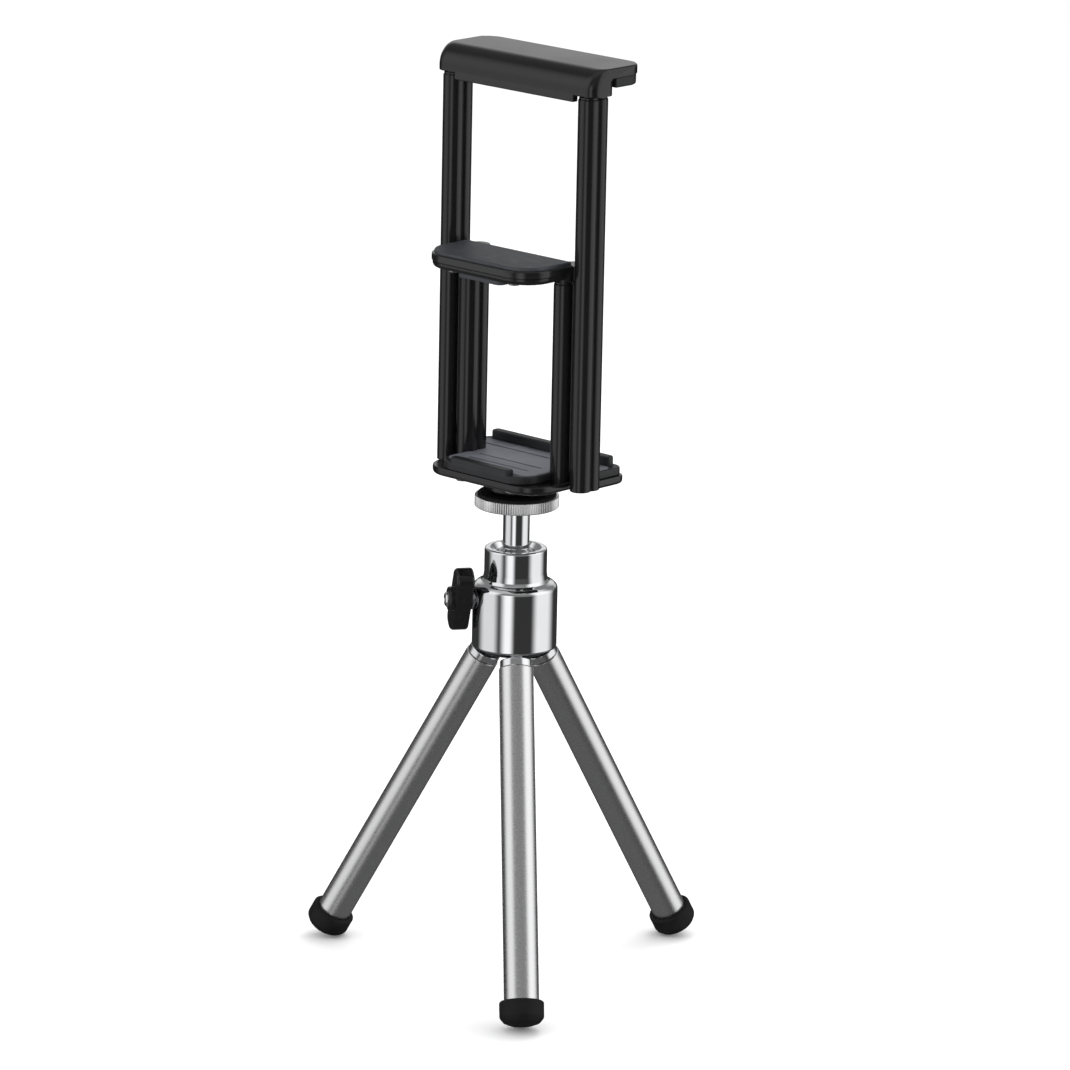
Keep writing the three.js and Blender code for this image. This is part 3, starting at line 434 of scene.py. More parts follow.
# ---------------------------------------------------------------- ball head
COLLAR_R = 9.05
NECK_R = 9.3             # where the shoulder meets the collar
WALL_H = 16.6            # straight side of the body, up from its rim
SHOULDER_H = 19.4
LIP_DROP = 2.2           # from the collar's rim down to the lip that holds the ball
LIP_R = 6.3
SOCKET_R = 7.6
RECESS_R = 11.6          # recess for the leg hub
RECESS_H = 4.9
BALL_R = 7.3
STEM_R = 3.85
BALL_STEPS = 16


def build_head():
    low, high = span("head_body")
    r = (high.x - low.x) / 2
    base = low.z
    top = high.z
    shoulder = base + SHOULDER_H
    wall = base + WALL_H
    lip = top - LIP_DROP
    profile = [
        (RECESS_R, base, 0), (r - 0.1, base, 0.1), (r, base + 0.5, 0.25), (r, wall + 1.3, 1.6),
        (r - 1.1, shoulder - 0.5, 1.3), (NECK_R + 0.6, shoulder + 0.05, 0.5), (NECK_R, shoulder + 0.9, 0.5),
        (COLLAR_R, shoulder + 2.6, 2), (COLLAR_R, top, 1.3), (7.4, top - 0.05, 0.3),
        (LIP_R, lip + 0.5, 0.2), (6.2, lip - 0.3, 0.1), (7.2, lip - 2.6, 1.5), (SOCKET_R, lip - 5, 0.5),
        (SOCKET_R, base + RECESS_H, 0.1), (RECESS_R, base + RECESS_H, 0.1),
    ]
    body = turned("head_shell", profile, CHROME, closed=True)
    piece(body, "head", "chrome", "head_body")

    stem_low, stem_high = span("ball_stem")
    centre = stem_low.z + BALL_R
    arc = []
    meet = math.acos(STEM_R / BALL_R)
    for k in range(BALL_STEPS + 1):
        angle = -math.pi / 2 + (meet + math.pi / 2) * k / BALL_STEPS
        arc.append((BALL_R * math.cos(angle), centre + BALL_R * math.sin(angle), 0))
    stem = arc[:-1] + [
        (STEM_R, centre + BALL_R * math.sin(meet) + 0.1, 0.3),
        (STEM_R, stem_high.z - 0.8, 0.1), (STEM_R + 0.25, stem_high.z - 0.4, 0.2),
        (STEM_R, stem_high.z, 0.1), (0, stem_high.z, 0),
    ]
    piece(turned("ball_and_stem", stem, CHROME, count=96), "ball", "chrome", "ball_stem")


DISC_BORE = 3.18
DISC_PAD_BORE = 3.3
KNURL_TEETH = 110
KNURL_DEPTH = 0.2


def build_disc():
    low, high = span("lock_disc")
    r = (high.x - low.x) / 2
    band = low.z + 0.5
    pad_low, pad_high = span("disc_pad")
    pad_r = (pad_high.x - pad_low.x) / 2
    profile = [
        (DISC_BORE, low.z, 0), (4.3, low.z, 0.15), (r - 0.55, band, 0.1), (r - 0.04, band + 0.28, 0.12),
        (r - 0.04, high.z - 0.28, 0.12), (r - 0.5, high.z, 0.1), (pad_r + 0.1, high.z, 0.08),
        (pad_r + 0.1, pad_low.z - 0.02, 0.05), (DISC_BORE, pad_low.z - 0.02, 0.05),
    ]
    rim = knurled(KNURL_TEETH, KNURL_DEPTH, r - 0.3)
    disc = turned("knurled_disc", profile, KNURLED, closed=True, outline=rim, steps=3)
    piece(disc, "lock", "chrome", "lock_disc")
    top = [
        (DISC_PAD_BORE, pad_low.z, 0), (pad_r, pad_low.z, 0.05), (pad_r, pad_high.z - 0.5, 0.4),
        (pad_r - 0.7, pad_high.z - 0.15, 0.3), (pad_r - 1.6, pad_high.z - 0.1, 0.1),
        (pad_r - 2.0, pad_high.z, 0.1), (DISC_PAD_BORE, pad_high.z, 0.1),
    ]
    piece(turned("disc_grip", top, RUBBER, closed=True), "lock", "rubber", "disc_pad")


# ---------------------------------------------------------------- legs
# Heights along a leg are measured from its hinge pin.
CAP_TOP = -2.3
CAP_LOW = -4.7
CAP_R = 4.7
SPIGOT_R = 4.1
SPIGOT_L = 8
TUBE_R = 5
TUBE_BORE_R = 4.2
TONGUE_HALF = 3
TONGUE_LOW = -3.5
FOOT_R = 6.4
FOOT_L = 7
FOOT_GRIP = 4.2          # how far a foot reaches up the tube
FOOT_BORE_R = 5.12
FOOT_BORE_L = 4


def leg_matrix(i):
    """Origin at the hinge pin, -Z down the leg, Y along the pin."""
    pivot = middle(f"hinge_pin_{i}")
    down = (middle(f"leg_tube_{i}") - pivot).normalized()
    outward = Vector((down.x, down.y, 0)).normalized()
    across = Vector((0, 0, 1)).cross(outward)
    z = -down
    x = across.cross(z)
    rotation = Matrix((x, across, z)).transposed().to_4x4()
    return Matrix.Translation(pivot) @ rotation, (middle(f"leg_tube_{i}") - pivot).length


def build_leg(i):
    matrix, half = leg_matrix(i)
    tube_top = CAP_LOW - 0.1
    tube_end = -(2 * half + tube_top)
    foot_top = tube_end + FOOT_GRIP
    foot_end = foot_top - FOOT_L
    body = f"leg_{i}"

    tube = turned(f"tube_{i}", [
        (TUBE_BORE_R, tube_end, 0), (TUBE_R, tube_end, 0.1), (TUBE_R, tube_top - 0.05, 0.25),
        (4.6, tube_top, 0.1), (TUBE_BORE_R, tube_top, 0.05),
    ], ALUMINIUM, matrix=matrix, closed=True, count=FINE + 32)
    piece(tube, body, "aluminium", f"leg_tube_{i}")

    cap = turned(f"leg_cap_{i}", [
        (0, tube_top - SPIGOT_L, 0), (SPIGOT_R, tube_top - SPIGOT_L, 0.4), (SPIGOT_R, CAP_LOW + 0.02, 0.05),
        (CAP_R, CAP_LOW + 0.02, 0.2), (CAP_R, CAP_TOP - 0.25, 0.35), (3.9, CAP_TOP, 0.2), (0, CAP_TOP, 0),
    ], CHROME, matrix=matrix, count=FINE)
    piece(cap, body, "chrome", f"leg_plug_{i}")

    half_w = TONGUE_HALF
    flag = plan([(-half_w, TONGUE_LOW, 0.1), (half_w, TONGUE_LOW, 0.1),
                 (half_w, half_w, 2.98), (-half_w, half_w, 2.98)], 10)
    swing = matrix @ Matrix.Rotation(math.pi / 2, 4, "X")
    tongue = loft(f"leg_tongue_{i}", flag, slab(-1.5, 1.5, 0.25, 0.25, 3), CHROME, matrix=swing)
    piece(tongue, body, "chrome")

    r = FOOT_R
    foot = turned(f"foot_cap_{i}", [
        (0, foot_end, 0), (1.6, foot_end + 0.02, 0.1), (1.9, foot_end + 0.2, 0.1),
        (2.3, foot_end + 0.06, 0.1),
        (r * 0.5, foot_end + 0.12, 2), (r - 1.2, foot_end + 0.85, 1.6), (r - 0.02, foot_end + 2.3, 1.6),
        (r, foot_top - 0.4, 0.3), (r - 0.35, foot_top, 0.2), (FOOT_BORE_R, foot_top, 0.12),
        (FOOT_BORE_R, foot_top - FOOT_BORE_L, 0.1), (0, foot_top - FOOT_BORE_L, 0),
    ], RUBBER, matrix=matrix, count=FINE + 16)
    piece(foot, body, "rubber", f"foot_{i}")


# ---------------------------------------------------------------- clamp knob
def knob_matrix():
    """Origin on the tripod's axis, Z out along the screw."""
    screw = middle("knob_screw")
    start = Vector((AXIS.x, AXIS.y, screw.z))
    z = (screw - start).normalized()
    x = Vector((0, 0, -1))
    y = z.cross(x)
    return Matrix.Translation(start) @ Matrix((x, y, z)).transposed().to_4x4()


# Distances along the knob's screw are measured from the tripod's axis.
SCREW_TIP = 7.6
SCREW_R = 2.2
SCREW_END = 20.65
WASHER_IN = 12.4
WASHER_OUT = 13.0
WASHER_R = 3.1
WING_IN = 13.15
WING_OUT = 18.55
WING_HALF = 10.75
WING_HALF_W = 3.5
WING_R = 2.7
WING_TURN = -30          # degrees from upright
KNOB_BORE_R = 2.3
KNOB_HUB_R = 3.4
KNOB_FACE_R = 3.7


def build_knob():
    matrix = knob_matrix()
    end = SCREW_END
    screw = turned("clamp_screw", [
        (0, SCREW_TIP, 0), (0.8, SCREW_TIP, 0.1), (SCREW_R, 9.2, 0.3), (SCREW_R, end - 0.45, 0.1),
        (1.75, end - 0.05, 0.4),
        (0.9, end, 0.2), (0.8, end - 0.5, 0.1), (0, end - 0.5, 0),
    ], CHROME, matrix=matrix, count=FINE)
    piece(screw, "knob", "chrome", "knob_screw")
    washer = turned("screw_washer", [
        (KNOB_BORE_R, WASHER_IN, 0), (WASHER_R, WASHER_IN, 0.12),
        (WASHER_R, WASHER_OUT, 0.12), (KNOB_BORE_R, WASHER_OUT, 0.05),
    ], STEEL, matrix=matrix, closed=True, count=FINE)
    piece(washer, "knob", "steel", "knob_washer")

    turn = matrix @ Matrix.Rotation(math.radians(WING_TURN), 4, "Z")
    blade = bar(-WING_HALF, WING_HALF, -WING_HALF_W, WING_HALF_W, WING_R, 8)
    wing = loft("wing", blade, slab(WING_IN, WING_OUT, 0.9, 1.1, 5), GLOSS, matrix=turn)
    piece(wing, "knob", "gloss_black", "wing_knob")
    hub = turned("wing_hub", [
        (KNOB_BORE_R, WING_IN - 0.02, 0), (KNOB_HUB_R, WING_IN - 0.02, 0.2), (KNOB_HUB_R, WING_OUT - 0.5, 0),
        (KNOB_FACE_R, WING_OUT - 0.3, 0.1), (KNOB_FACE_R, WING_OUT + 0.9, 0.5), (3.0, WING_OUT + 1.2, 0.2),
        (KNOB_BORE_R, WING_OUT + 1.2, 0.15),
    ], GLOSS, matrix=matrix, closed=True, count=FINE)
    piece(hub, "knob", "gloss_black")


# ---------------------------------------------------------------- posts
PITCH = 3.6              # between the two barrels of a post
BARREL_R = 3
POST_BORE_R = 2.45
GUIDE_R = 2.4
GUIDE_BORE_R = 2.08
FLANGE_R = 2.75
SLIDE_R = 2


def build_posts():
    shape = double_barrel(PITCH)
    for (kind, side), centre in POSTS.items():
        node = f"{kind}_post_{side}"
        low, high = span(node)
        at = (centre.x, centre.y)
        wall = filleted([
            (POST_BORE_R, low.z, 0.05), (BARREL_R, low.z, 0.25),
            (BARREL_R, high.z, 0.3), (POST_BORE_R, high.z, 0.05),
        ], closed=True, steps=4)
        tube = loft(f"{kind}_tube_{side}", shape, wall, GLOSS, at, closed=True, sharp=50)
        piece(tube, "holder", "gloss_black", node)

        collar_low, collar_high = span(f"{kind}_post_collar_{side}")
        guide = filleted([
            (GUIDE_BORE_R, collar_low.z, 0), (GUIDE_R, collar_low.z, 0.05), (GUIDE_R, high.z + 0.05, 0.02),
            (FLANGE_R, high.z + 0.05, 0.05), (FLANGE_R, collar_high.z, 0.2),
            (GUIDE_BORE_R, collar_high.z, 0.05),
        ], closed=True, steps=3)
        collar = loft(f"{kind}_guide_{side}", shape, guide, GLOSS, at, closed=True, sharp=50)
        piece(collar, "holder", "satin_black", f"{kind}_post_collar_{side}")

        plug_low, plug_high = span(f"{kind}_post_plug_{side}")
        plug = [(2.2, plug_low.z), (GUIDE_R, plug_low.z + 0.2), (GUIDE_R, plug_high.z)]
        stop = loft(f"{kind}_stop_{side}", shape, plug, SATIN, at, sharp=50)
        piece(stop, "holder", "satin_black", f"{kind}_post_plug_{side}")

        slide_low, slide_high = span(f"{kind}_slide_{side}")
        slide = [(1.8, slide_low.z), (SLIDE_R, slide_low.z + 0.2), (SLIDE_R, slide_high.z)]
        rod = loft(f"{kind}_rod_{side}", shape, slide, STEEL, at, sharp=50)
        clamp = "tablet_clamp" if kind == "outer" else "phone_clamp"
        piece(rod, clamp, "steel", f"{kind}_slide_{side}")


# ---------------------------------------------------------------- base
STEP = 1.0               # where the outline widens, past the middle of the posts
SHELL_NEAR_HALF = 22
DECK_NEAR_HALF = 17.3
PAD_NEAR_HALF = 16.3
BOSS_H = 4
BOSS_R = 8.7
BOSS_BORE_R = 4.55
NEAR_LIP_HALF = 11.5
NEAR_LIP_W = 3.3
NEAR_LIP_H = 1.4
FAR_LIP_HALF = 23
FAR_LIP_W = 3.2
FAR_LIP_SET = 1.1        # from the deck's far edge
LIP_ROOT = 1.2           # how deep a lip reaches into the deck
LIP_CORNER = 1.3
GROOVES = ((-8, 11.6), (-3.05, 12.2), (7.5, 21))   # place along Y, half length
GROOVE_HALF_W = 0.36
GROOVE_DEPTH = 0.8


def base_plan(x, y, near_half, far_half, near_y, far_y, near_r, far_r):
    step = y + STEP
    return plan([
        (x - near_half, near_y, near_r), (x + near_half, near_y, near_r), (x + near_half, step, 0.3),
        (x + far_half, step, 0.3), (x + far_half, far_y, far_r), (x - far_half, far_y, far_r),
        (x - far_half, step, 0.3), (x - near_half, step, 0.3),
    ])


def build_base():
    x = AXIS.x
    y = AXIS.y
    shell_low, shell_high = span("base_shell")
    far_half = (shell_high.x - shell_low.x) / 2
    boss_low = shell_low.z
    floor = boss_low + BOSS_H
    outline = base_plan(x, y, SHELL_NEAR_HALF, far_half, shell_low.y, shell_high.y, 8, 4)
    shell = loft("base_tray", outline, slab(floor, shell_high.z, 1.1, 0.35, 5), GLOSS)
    piece(shell, "holder", "satin_black", "base_shell")
    boss = turned("base_boss", [
        (BOSS_BORE_R, boss_low, 0), (8.3, boss_low, 0.3), (BOSS_R, boss_low + 0.5, 0.3),
        (BOSS_R, floor - 0.6, 0.5),
        (9.6, floor + 0.1, 0.1), (BOSS_BORE_R, floor + 0.1, 0),
    ], GLOSS, closed=True)
    piece(boss, "holder", "satin_black")

    plate_low, plate_high = span("base_plate")
    top = top_of("base_pad")
    half = (plate_high.x - plate_low.x) / 2
    outline = base_plan(x, y, DECK_NEAR_HALF, half, plate_low.y, plate_high.y, 7, 3.7)
    plate = loft("base_deck", outline, slab(plate_low.z, top - 0.12, 0.2, 0.5, 4), SATIN)
    piece(plate, "holder", "satin_black", "base_plate")
    near_y = plate_low.y
    near_bar = bar(x - NEAR_LIP_HALF, x + NEAR_LIP_HALF, near_y + 0.05, near_y + NEAR_LIP_W, LIP_CORNER)
    near = loft("near_lip", near_bar, slab(top - LIP_ROOT, top + NEAR_LIP_H, 0, 0.55, 4), SATIN)
    piece(near, "holder", "satin_black")
    far_y = plate_high.y - FAR_LIP_SET
    far_bar = bar(x - FAR_LIP_HALF, x + FAR_LIP_HALF, far_y - FAR_LIP_W, far_y, LIP_CORNER)
    far = loft("far_lip", far_bar, slab(top - LIP_ROOT, plate_high.z, 0, 0.6, 4), SATIN)
    piece(far, "holder", "satin_black")

    pad_low, pad_high = span("base_pad")
    pad_half = (pad_high.x - pad_low.x) / 2
    pad = loft("grooved_pad", base_plan(x, y, PAD_NEAR_HALF, pad_half, pad_low.y, pad_high.y, 3, 2.5),
               slab(pad_low.z, pad_high.z, 0, 0.15, 2), BASE_PAD)
    for offset, half_length in GROOVES:
        line = y + offset
        groove = bar(x - half_length, x + half_length, line - GROOVE_HALF_W, line + GROOVE_HALF_W, 0.3, 4)
        carve(pad, groove, top - GROOVE_DEPTH, top + 1)
    piece(pad, "holder", "rubber", "base_pad")


def carve(obj, outline, low, high):
    """Cuts a prism of the outline out of a piece."""
    cutter = loft("cutter", outline, [(0, low), (0, high)], SATIN)
    cut = obj.modifiers.new("cut", "BOOLEAN")
    cut.operation = "DIFFERENCE"
    cut.solver = "EXACT"
    cut.object = cutter
    weighted = obj.modifiers["weighted"]
    obj.modifiers.move(obj.modifiers.find(cut.name), 0)
    weighted.show_viewport = False
    bpy.context.view_layer.update()
    evaluated = obj.evaluated_get(bpy.context.evaluated_depsgraph_get())
    mesh = bpy.data.meshes.new_from_object(evaluated)
    obj.modifiers.remove(cut)
    obj.data = mesh
    weighted.show_viewport = True
    mesh.shade_smooth()
    mesh.set_sharp_from_angle(angle=math.radians(38))
    bpy.data.objects.remove(cutter)


# ---------------------------------------------------------------- phone jaw
PARTING = 0.3            # the lower half of the jaw's body stands this far inside the upper one
PHONE_NEAR = 20.3        # the jaw's edges, from the tripod's axis towards the phone
PHONE_FAR = 1.2
PHONE_HALF = 21.2
PHONE_CORNER = 9
CLIP_R = 3.15            # caps round the inner posts' slides


def build_phone_jaw():
    x = AXIS.x
    y = AXIS.y
    low = top_of("phone_jaw_pad") + 0.05
    cover_low, cover_high = span("phone_jaw_cover")
    split = cover_low.z - 0.1
    near = y - PHONE_NEAR
    far = y - PHONE_FAR
    half = PHONE_HALF

    def jaw(inset, radius):
        return plan([
            (x - half + inset, near + inset, radius - inset),
            (x + half - inset, near + inset, radius - inset),
            (x + half - inset, far, 0.4), (x - half + inset, far, 0.4),
        ], 14)

    part = (low + split) / 2
    skin = slab(low, split + 0.35, 1.3, 0.5, 5)
    lower = [(PARTING + inset, z) for inset, z in skin if z < part]
    upper = [(inset, z) for inset, z in skin if z > part]
    seam = [(PARTING, part - 0.14), (PARTING + 0.25, part - 0.08), (PARTING + 0.25, part + 0.08),
            (0.14, part + 0.12), (0, part + 0.26)]
    shell = loft("phone_jaw_body", jaw(0, PHONE_CORNER), lower + seam + upper, GLOSS)
    piece(shell, "phone_clamp", "gloss_black", "phone_jaw_shell")
    cover = loft("phone_jaw_top", jaw(0.75, PHONE_CORNER), slab(split - 0.5, cover_high.z, 0, 0.45, 4), PAD)
    piece(cover, "phone_clamp", "satin_black", "phone_jaw_cover")
    pad_low, pad_high = span("phone_jaw_pad")
    grip = loft("phone_jaw_grip", bar(pad_low.x, pad_high.x, pad_low.y, pad_high.y, 2),
                slab(pad_low.z, pad_high.z + 0.1, 0.3, 0, 3), PAD)
    piece(grip, "phone_clamp", "rubber", "phone_jaw_pad")
    for side in SIDES:
        centre = POSTS["inner", side]
        shape = double_barrel(PITCH)
        clip = loft(f"jaw_clip_{side}", shape, [
            (2.9, low - 0.4), (CLIP_R, low - 0.15), (CLIP_R, split - 0.2), (3.0, split), (2.7, split),
        ], GLOSS, (centre.x, centre.y), sharp=50)
        piece(clip, "phone_clamp", "gloss_black")


# ---------------------------------------------------------------- tablet jaw
def end_trim(distance, radius):
    """How far a rounded corner pulls an edge in, at a distance inside the end."""
    if distance >= radius:
        return 0
    return radius - math.sqrt(max(radius ** 2 - (radius - distance) ** 2, 0))


TABLET_NEAR_R = 3        # corners of the tablet jaw, in plan
TABLET_FAR_R = 6
WEB_R = 3.2
WEB_SET = 4.9            # far face of the end blocks, from the middle of the posts
TABLET_ARC = 6.1         # radius of the rounded near edge
TABLET_ARC_STEPS = 14
TABLET_ROLL = 0.8        # radius along the far upper edge
TABLET_ROLL_STEPS = 5
TABLET_STATIONS = (0, 0.05, 0.15, 0.3, 0.5, 0.8, 1.2, 1.7, 2.3, 3, 3.8, 4.7, 6)   # sections, in from an end
SKIRT_DROP = 1.9


def build_tablet_jaw():
    low, high = span("tablet_jaw_cover")
    plate_low, plate_high = span("tablet_jaw_plate")
    skirt_low = low.z
    block_low = skirt_low + SKIRT_DROP
    layer = plate_high.z + 0.1
    web = POSTS["outer", "left"].y + WEB_SET
    half = (high.x - low.x) / 2
    x = AXIS.x
    stations = sorted({round(half - d, 4) for d in TABLET_STATIONS})
    xs = [-s for s in reversed(stations)] + stations
    vertices = []
    rings = []
    for px in xs:
        inside = half - abs(px)
        near = low.y + end_trim(inside, TABLET_NEAR_R)
        far = high.y - end_trim(inside, TABLET_FAR_R)
        soft = end_trim(inside, 0.8)
        back = web - end_trim(inside, WEB_R)
        top = high.z - soft
        arc = TABLET_ARC
        bulge = [(near + arc - arc * math.sin(a), top - arc + arc * math.cos(a))
                 for a in (math.pi / 2 * k / TABLET_ARC_STEPS for k in range(TABLET_ARC_STEPS + 1))]
        section = [(back, block_low), (near + 0.4, block_low),
                   (near + 0.12, block_low + 0.12), (near, block_low + 0.4)]
        section += list(reversed(bulge))
        roll = TABLET_ROLL
        section += [(far - roll + roll * math.sin(a), top - roll + roll * math.cos(a))
                    for a in (math.pi / 2 * k / TABLET_ROLL_STEPS for k in range(TABLET_ROLL_STEPS + 1))]
        section += [(far, layer + 0.25), (far - 0.25, layer), (back + 1.0, layer)]
        section += [(back, layer - 1.0)]
        rings.append([len(vertices) + i for i in range(len(section))])
        vertices += [Vector((x + px, sy, sz)) for sy, sz in section]
    faces = []
    count = len(rings[0])
    for a, b in zip(rings, rings[1:]):
        for i in range(count):
            j = (i + 1) % count
            faces.append((a[i], b[i], b[j], a[j]))
    faces.append(tuple(rings[0]))
    faces.append(tuple(reversed(rings[-1])))
    cover = finish_mesh("tablet_jaw_hood", vertices, faces, GLOSS, 30)
    piece(cover, "tablet_clamp", "gloss_black", "tablet_jaw_cover")

    skirt_half = POSTS["outer", "right"].x - x - 3.15
    skirt = loft("tablet_jaw_skirt", bar(x - skirt_half, x + skirt_half, low.y + 0.02, low.y + 2.1, 0.3, 4),
                 slab(skirt_low, block_low + 1, 0.35, 0, 4), GLOSS)
    piece(skirt, "tablet_clamp", "gloss_black")

    outline = plan([
        (plate_low.x, plate_low.y, 0.3), (plate_high.x, plate_low.y, 0.3),
        (plate_high.x, plate_high.y, 5.7), (plate_low.x, plate_high.y, 5.7),
    ], 12)
    plate = loft("tablet_jaw_under", outline, slab(plate_low.z, plate_high.z, 0.6, 0.25, 4), SATIN)
    piece(plate, "tablet_clamp", "satin_black", "tablet_jaw_plate")
    pad_low, pad_high = span("tablet_jaw_pad")
    grip = loft("tablet_jaw_grip", bar(pad_low.x, pad_high.x, pad_low.y, pad_high.y, 2),
                slab(pad_low.z, pad_high.z + 0.1, 0.3, 0, 3), PAD)
    piece(grip, "tablet_clamp", "rubber", "tablet_jaw_pad")


# ---------------------------------------------------------------- CAD nodes that stay
def dress(material, *names):
    for name in names:
        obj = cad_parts[name]
        obj.data.materials.clear()
        obj.data.materials.append(material)


def dress_kept():
    dress(SATIN, "leg_hub")
    dress(STEEL, "hub_screw", "stud", *[f"hinge_pin_{i}" for i in (1, 2, 3)])
    dress(STEEL, *[f"{p}_screw_{i}" for p in ("base", "phone_jaw", "tablet_jaw") for i in (1, 2)])
    dress(STEEL, *[f"{k}_spring_{s}" for k in ("inner", "outer") for s in SIDES])
    dress(BRASS, "threaded_insert")
    dress(NYLON, "ball_seat")


# ---------------------------------------------------------------- studio
AZIMUTH = math.radians(42.7)
ELEVATION = math.radians(14.56)
ROLL = math.radians(1.18)
DISTANCE = 1845.0
AIM_RIGHT = 5.4
AIM_HEIGHT = 130.1
SENSOR = 36.0
LENS = 216.0
# Soft boxes by heading from the camera, in degrees towards image right: where each rises, where it falls,
# its strength, and the sines of the elevations between which it ends above
SOFT_BOXES = [
    ((-118, -88), (-62, -40), 0.92, (0.7, 0.95)),
    ((-44, -22), (-14, 2), 1.3, (0.15, 0.5)),
    ((44, 68), (98, 132), 1.12, (0.7, 0.95)),
]
# Pairs below are sines of the elevations between which a part of the room rises or falls.
BOX_RISE = (-0.62, -0.3)
HORIZON = (-0.1, 0.35)   # where the room turns from dark to grey
ROOM_LOW = 0.045
ROOM_HIGH = 0.27
FLOOR_GLOW = 0.085       # seen in faces that look down
GLOW_FALL = (-0.7, -0.4)
TENT = 1.32              # white light that diffuse faces receive
BACK_BOX = 0.7           # behind the object, seen in the upward faces
BACK_SIDES = (-0.95, -0.75)   # of the direction's share towards the camera
BACK_RISE = (0, 0.2)
BACK_FALL = (0.5, 0.7)
ZENITH = 0.4             # overhead
ZENITH_RISE = (0.75, 1)
FLOOR_HALF = 6000
# Area lights, for diffuse light only: name, heading, distance, height, width, tall, watts, tilt
LAMPS = [
    ("left_box", -74, 900, 200, 780, 900, 3, 0.0),
    ("front_box", -16, 1500, 300, 900, 900, 2, 0.0),
    ("right_box", 83, 900, 200, 960, 900, 3, 0.0),
    ("top_box", 150, 700, 1100, 900, 900, 6, 1.0),
]


def add_camera():
    right = Vector((math.cos(AZIMUTH), math.sin(AZIMUTH), 0))
    toward = Vector((math.sin(AZIMUTH), -math.cos(AZIMUTH), 0))
    back = toward * math.cos(ELEVATION) + Vector((0, 0, 1)) * math.sin(ELEVATION)
    up = back.cross(right)
    side = right * math.cos(ROLL) + up * math.sin(ROLL)
    top = up * math.cos(ROLL) - right * math.sin(ROLL)
    target = Vector((AXIS.x, AXIS.y, 0)) + right * AIM_RIGHT + Vector((0, 0, AIM_HEIGHT))
    data = bpy.data.cameras.new("camera")
    data.sensor_width = SENSOR
    data.lens = LENS
    data.clip_end = 20
    camera = bpy.data.objects.new("camera", data)
    place = Matrix((side, top, back)).transposed().to_4x4()
    camera.matrix_world = Matrix.Translation((target + back * DISTANCE) * MM) @ place
    bpy.context.scene.collection.objects.link(camera)
    bpy.context.scene.camera = camera


def add_floor():
    pale = Nodes("pale_floor")
    pale.shader.inputs["Base Color"].default_value = (0.92, 0.92, 0.92, 1)
    pale.shader.inputs["Roughness"].default_value = 0.9
    pale.shader.inputs["Specular IOR Level"].default_value = 0
    outline = bar(-FLOOR_HALF, FLOOR_HALF, -FLOOR_HALF, FLOOR_HALF, 10, 2)
    floor = loft("floor", outline, [(0, -20), (0, -0.02)], pale.material)
    floor.modifiers.clear()
    floor.visible_glossy = False


def add_light(name, heading, distance, height, width, tall, watts, tilt):
    """A soft box that faces the object; heading is degrees from the camera towards image right."""
    angle = AZIMUTH + math.radians(heading)
    toward = Vector((math.sin(angle), -math.cos(angle), 0))
    data = bpy.data.lights.new(name, "AREA")
    data.shape = "RECTANGLE"
    data.size = width * MM
    data.size_y = tall * MM
    data.energy = watts
    lamp = bpy.data.objects.new(name, data)
    lamp.location = (Vector((AXIS.x, AXIS.y, height)) + toward * distance) * MM
    aim = Vector((0, 0, 130 * MM)) - lamp.location if tilt else -toward
    lamp.rotation_euler = aim.to_track_quat("-Z", "Y").to_euler()
    lamp.visible_camera = False
    lamp.visible_glossy = False
    bpy.context.scene.collection.objects.link(lamp)


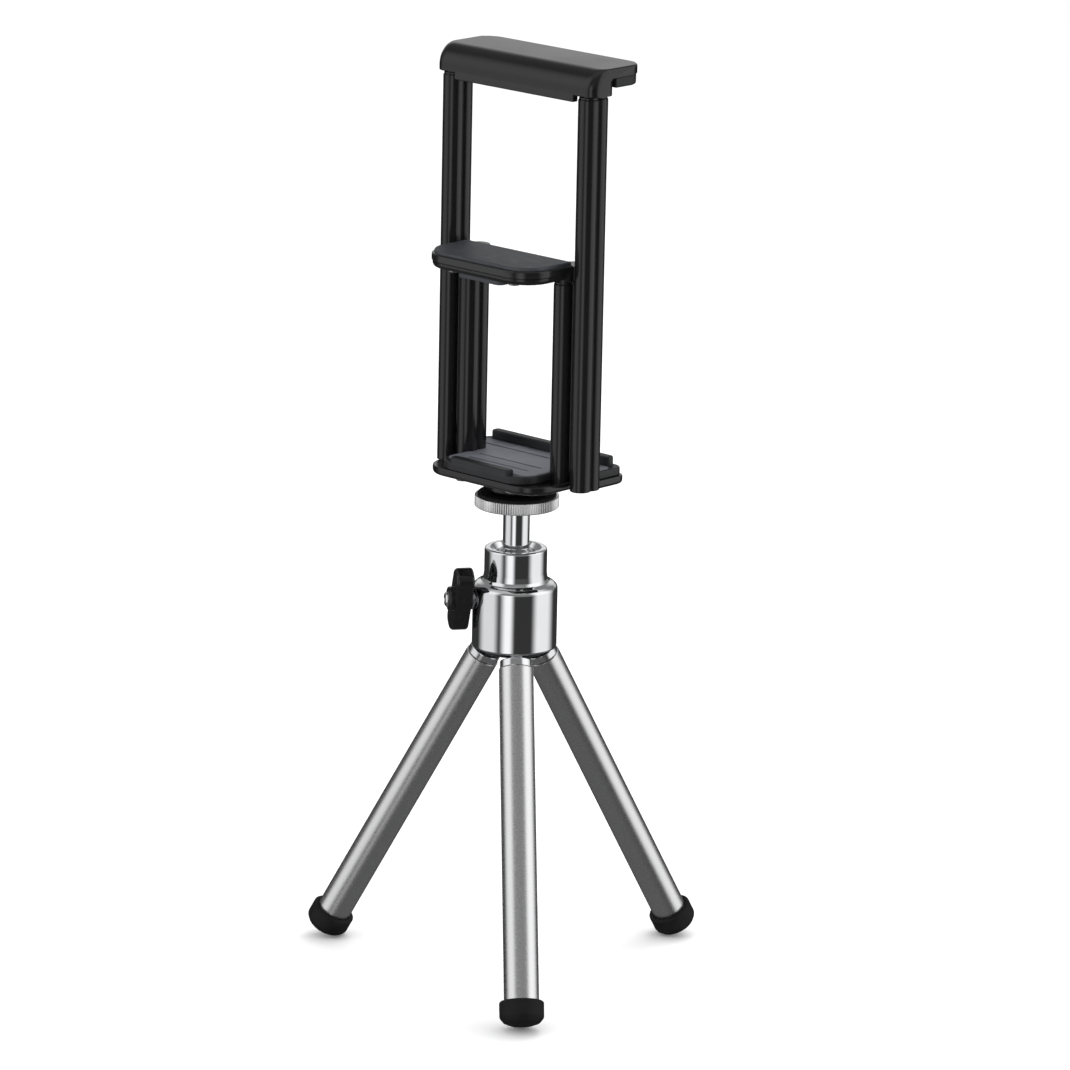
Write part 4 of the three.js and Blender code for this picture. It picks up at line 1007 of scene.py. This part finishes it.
def add_world():
    """A white tent for diffuse light, and for reflections a dark room with the soft boxes and the back box."""
    world = bpy.data.worlds.new("studio")
    bpy.context.scene.world = world
    world.use_nodes = True
    tree = world.node_tree
    tree.nodes.clear()

    def math_node(operation, *values):
        node = tree.nodes.new("ShaderNodeMath")
        node.operation = operation
        for socket, value in zip(node.inputs, values):
            if isinstance(value, (int, float)):
                socket.default_value = value
            else:
                tree.links.new(value, socket)
        return node.outputs[0]

    def ramp(source, start, end, low, high):
        node = tree.nodes.new("ShaderNodeMapRange")
        node.interpolation_type = "SMOOTHSTEP"
        for key, value in (("From Min", start), ("From Max", end), ("To Min", low), ("To Max", high)):
            node.inputs[key].default_value = value
        tree.links.new(source, node.inputs["Value"])
        return node.outputs["Result"]

    def mix(factor, first, second):
        node = tree.nodes.new("ShaderNodeMix")
        node.data_type = "FLOAT"
        tree.links.new(factor, node.inputs[0])
        for socket, value in ((node.inputs[2], first), (node.inputs[3], second)):
            if isinstance(value, (int, float)):
                socket.default_value = value
            else:
                tree.links.new(value, socket)
        return node.outputs[0]

    place = tree.nodes.new("ShaderNodeTexCoord").outputs["Generated"]
    split = tree.nodes.new("ShaderNodeSeparateXYZ")
    tree.links.new(place, split.inputs[0])
    x, y, z = split.outputs
    cos_x, sin_x = (math_node("MULTIPLY", x, f(AZIMUTH)) for f in (math.cos, math.sin))
    cos_y, sin_y = (math_node("MULTIPLY", y, f(AZIMUTH)) for f in (math.cos, math.sin))
    right = math_node("ADD", cos_x, sin_y)
    toward = math_node("SUBTRACT", sin_x, cos_y)
    heading = math_node("MULTIPLY", math_node("ARCTAN2", right, toward), 180 / math.pi)
    boxes = None
    for rise, fall, strength, end in SOFT_BOXES:
        box = math_node("MULTIPLY", ramp(heading, *rise, 0, 1), ramp(heading, *fall, strength, 0))
        box = math_node("MULTIPLY", box, ramp(z, *end, 1, 0))
        boxes = box if boxes is None else math_node("ADD", boxes, box)
    boxes = math_node("MULTIPLY", boxes, ramp(z, *BOX_RISE, 0, 1))
    back = math_node("MULTIPLY", ramp(toward, *BACK_SIDES, BACK_BOX, 0), ramp(z, *BACK_RISE, 0, 1))
    back = math_node("MULTIPLY", back, ramp(z, *BACK_FALL, 1, 0))
    boxes = math_node("ADD", boxes, math_node("ADD", back, ramp(z, *ZENITH_RISE, 0, ZENITH)))
    boxes = math_node("ADD", boxes, ramp(z, *GLOW_FALL, FLOOR_GLOW, 0))
    room = math_node("ADD", ramp(z, *HORIZON, ROOM_LOW, ROOM_HIGH), boxes)
    rays = tree.nodes.new("ShaderNodeLightPath")
    level = mix(rays.outputs["Is Diffuse Ray"], room, TENT)
    level = mix(rays.outputs["Is Camera Ray"], level, 1.0)
    background = tree.nodes.new("ShaderNodeBackground")
    tree.links.new(level, background.inputs["Strength"])
    output = tree.nodes.new("ShaderNodeOutputWorld")
    tree.links.new(background.outputs[0], output.inputs[0])


def add_studio():
    add_camera()
    add_floor()
    add_world()
    for lamp in LAMPS:
        add_light(*lamp)
    bpy.context.scene.view_settings.view_transform = "Standard"


build_head()
build_disc()
for leg in (1, 2, 3):
    build_leg(leg)
build_knob()
build_posts()
build_base()
build_phone_jaw()
build_tablet_jaw()
dress_kept()
add_studio()
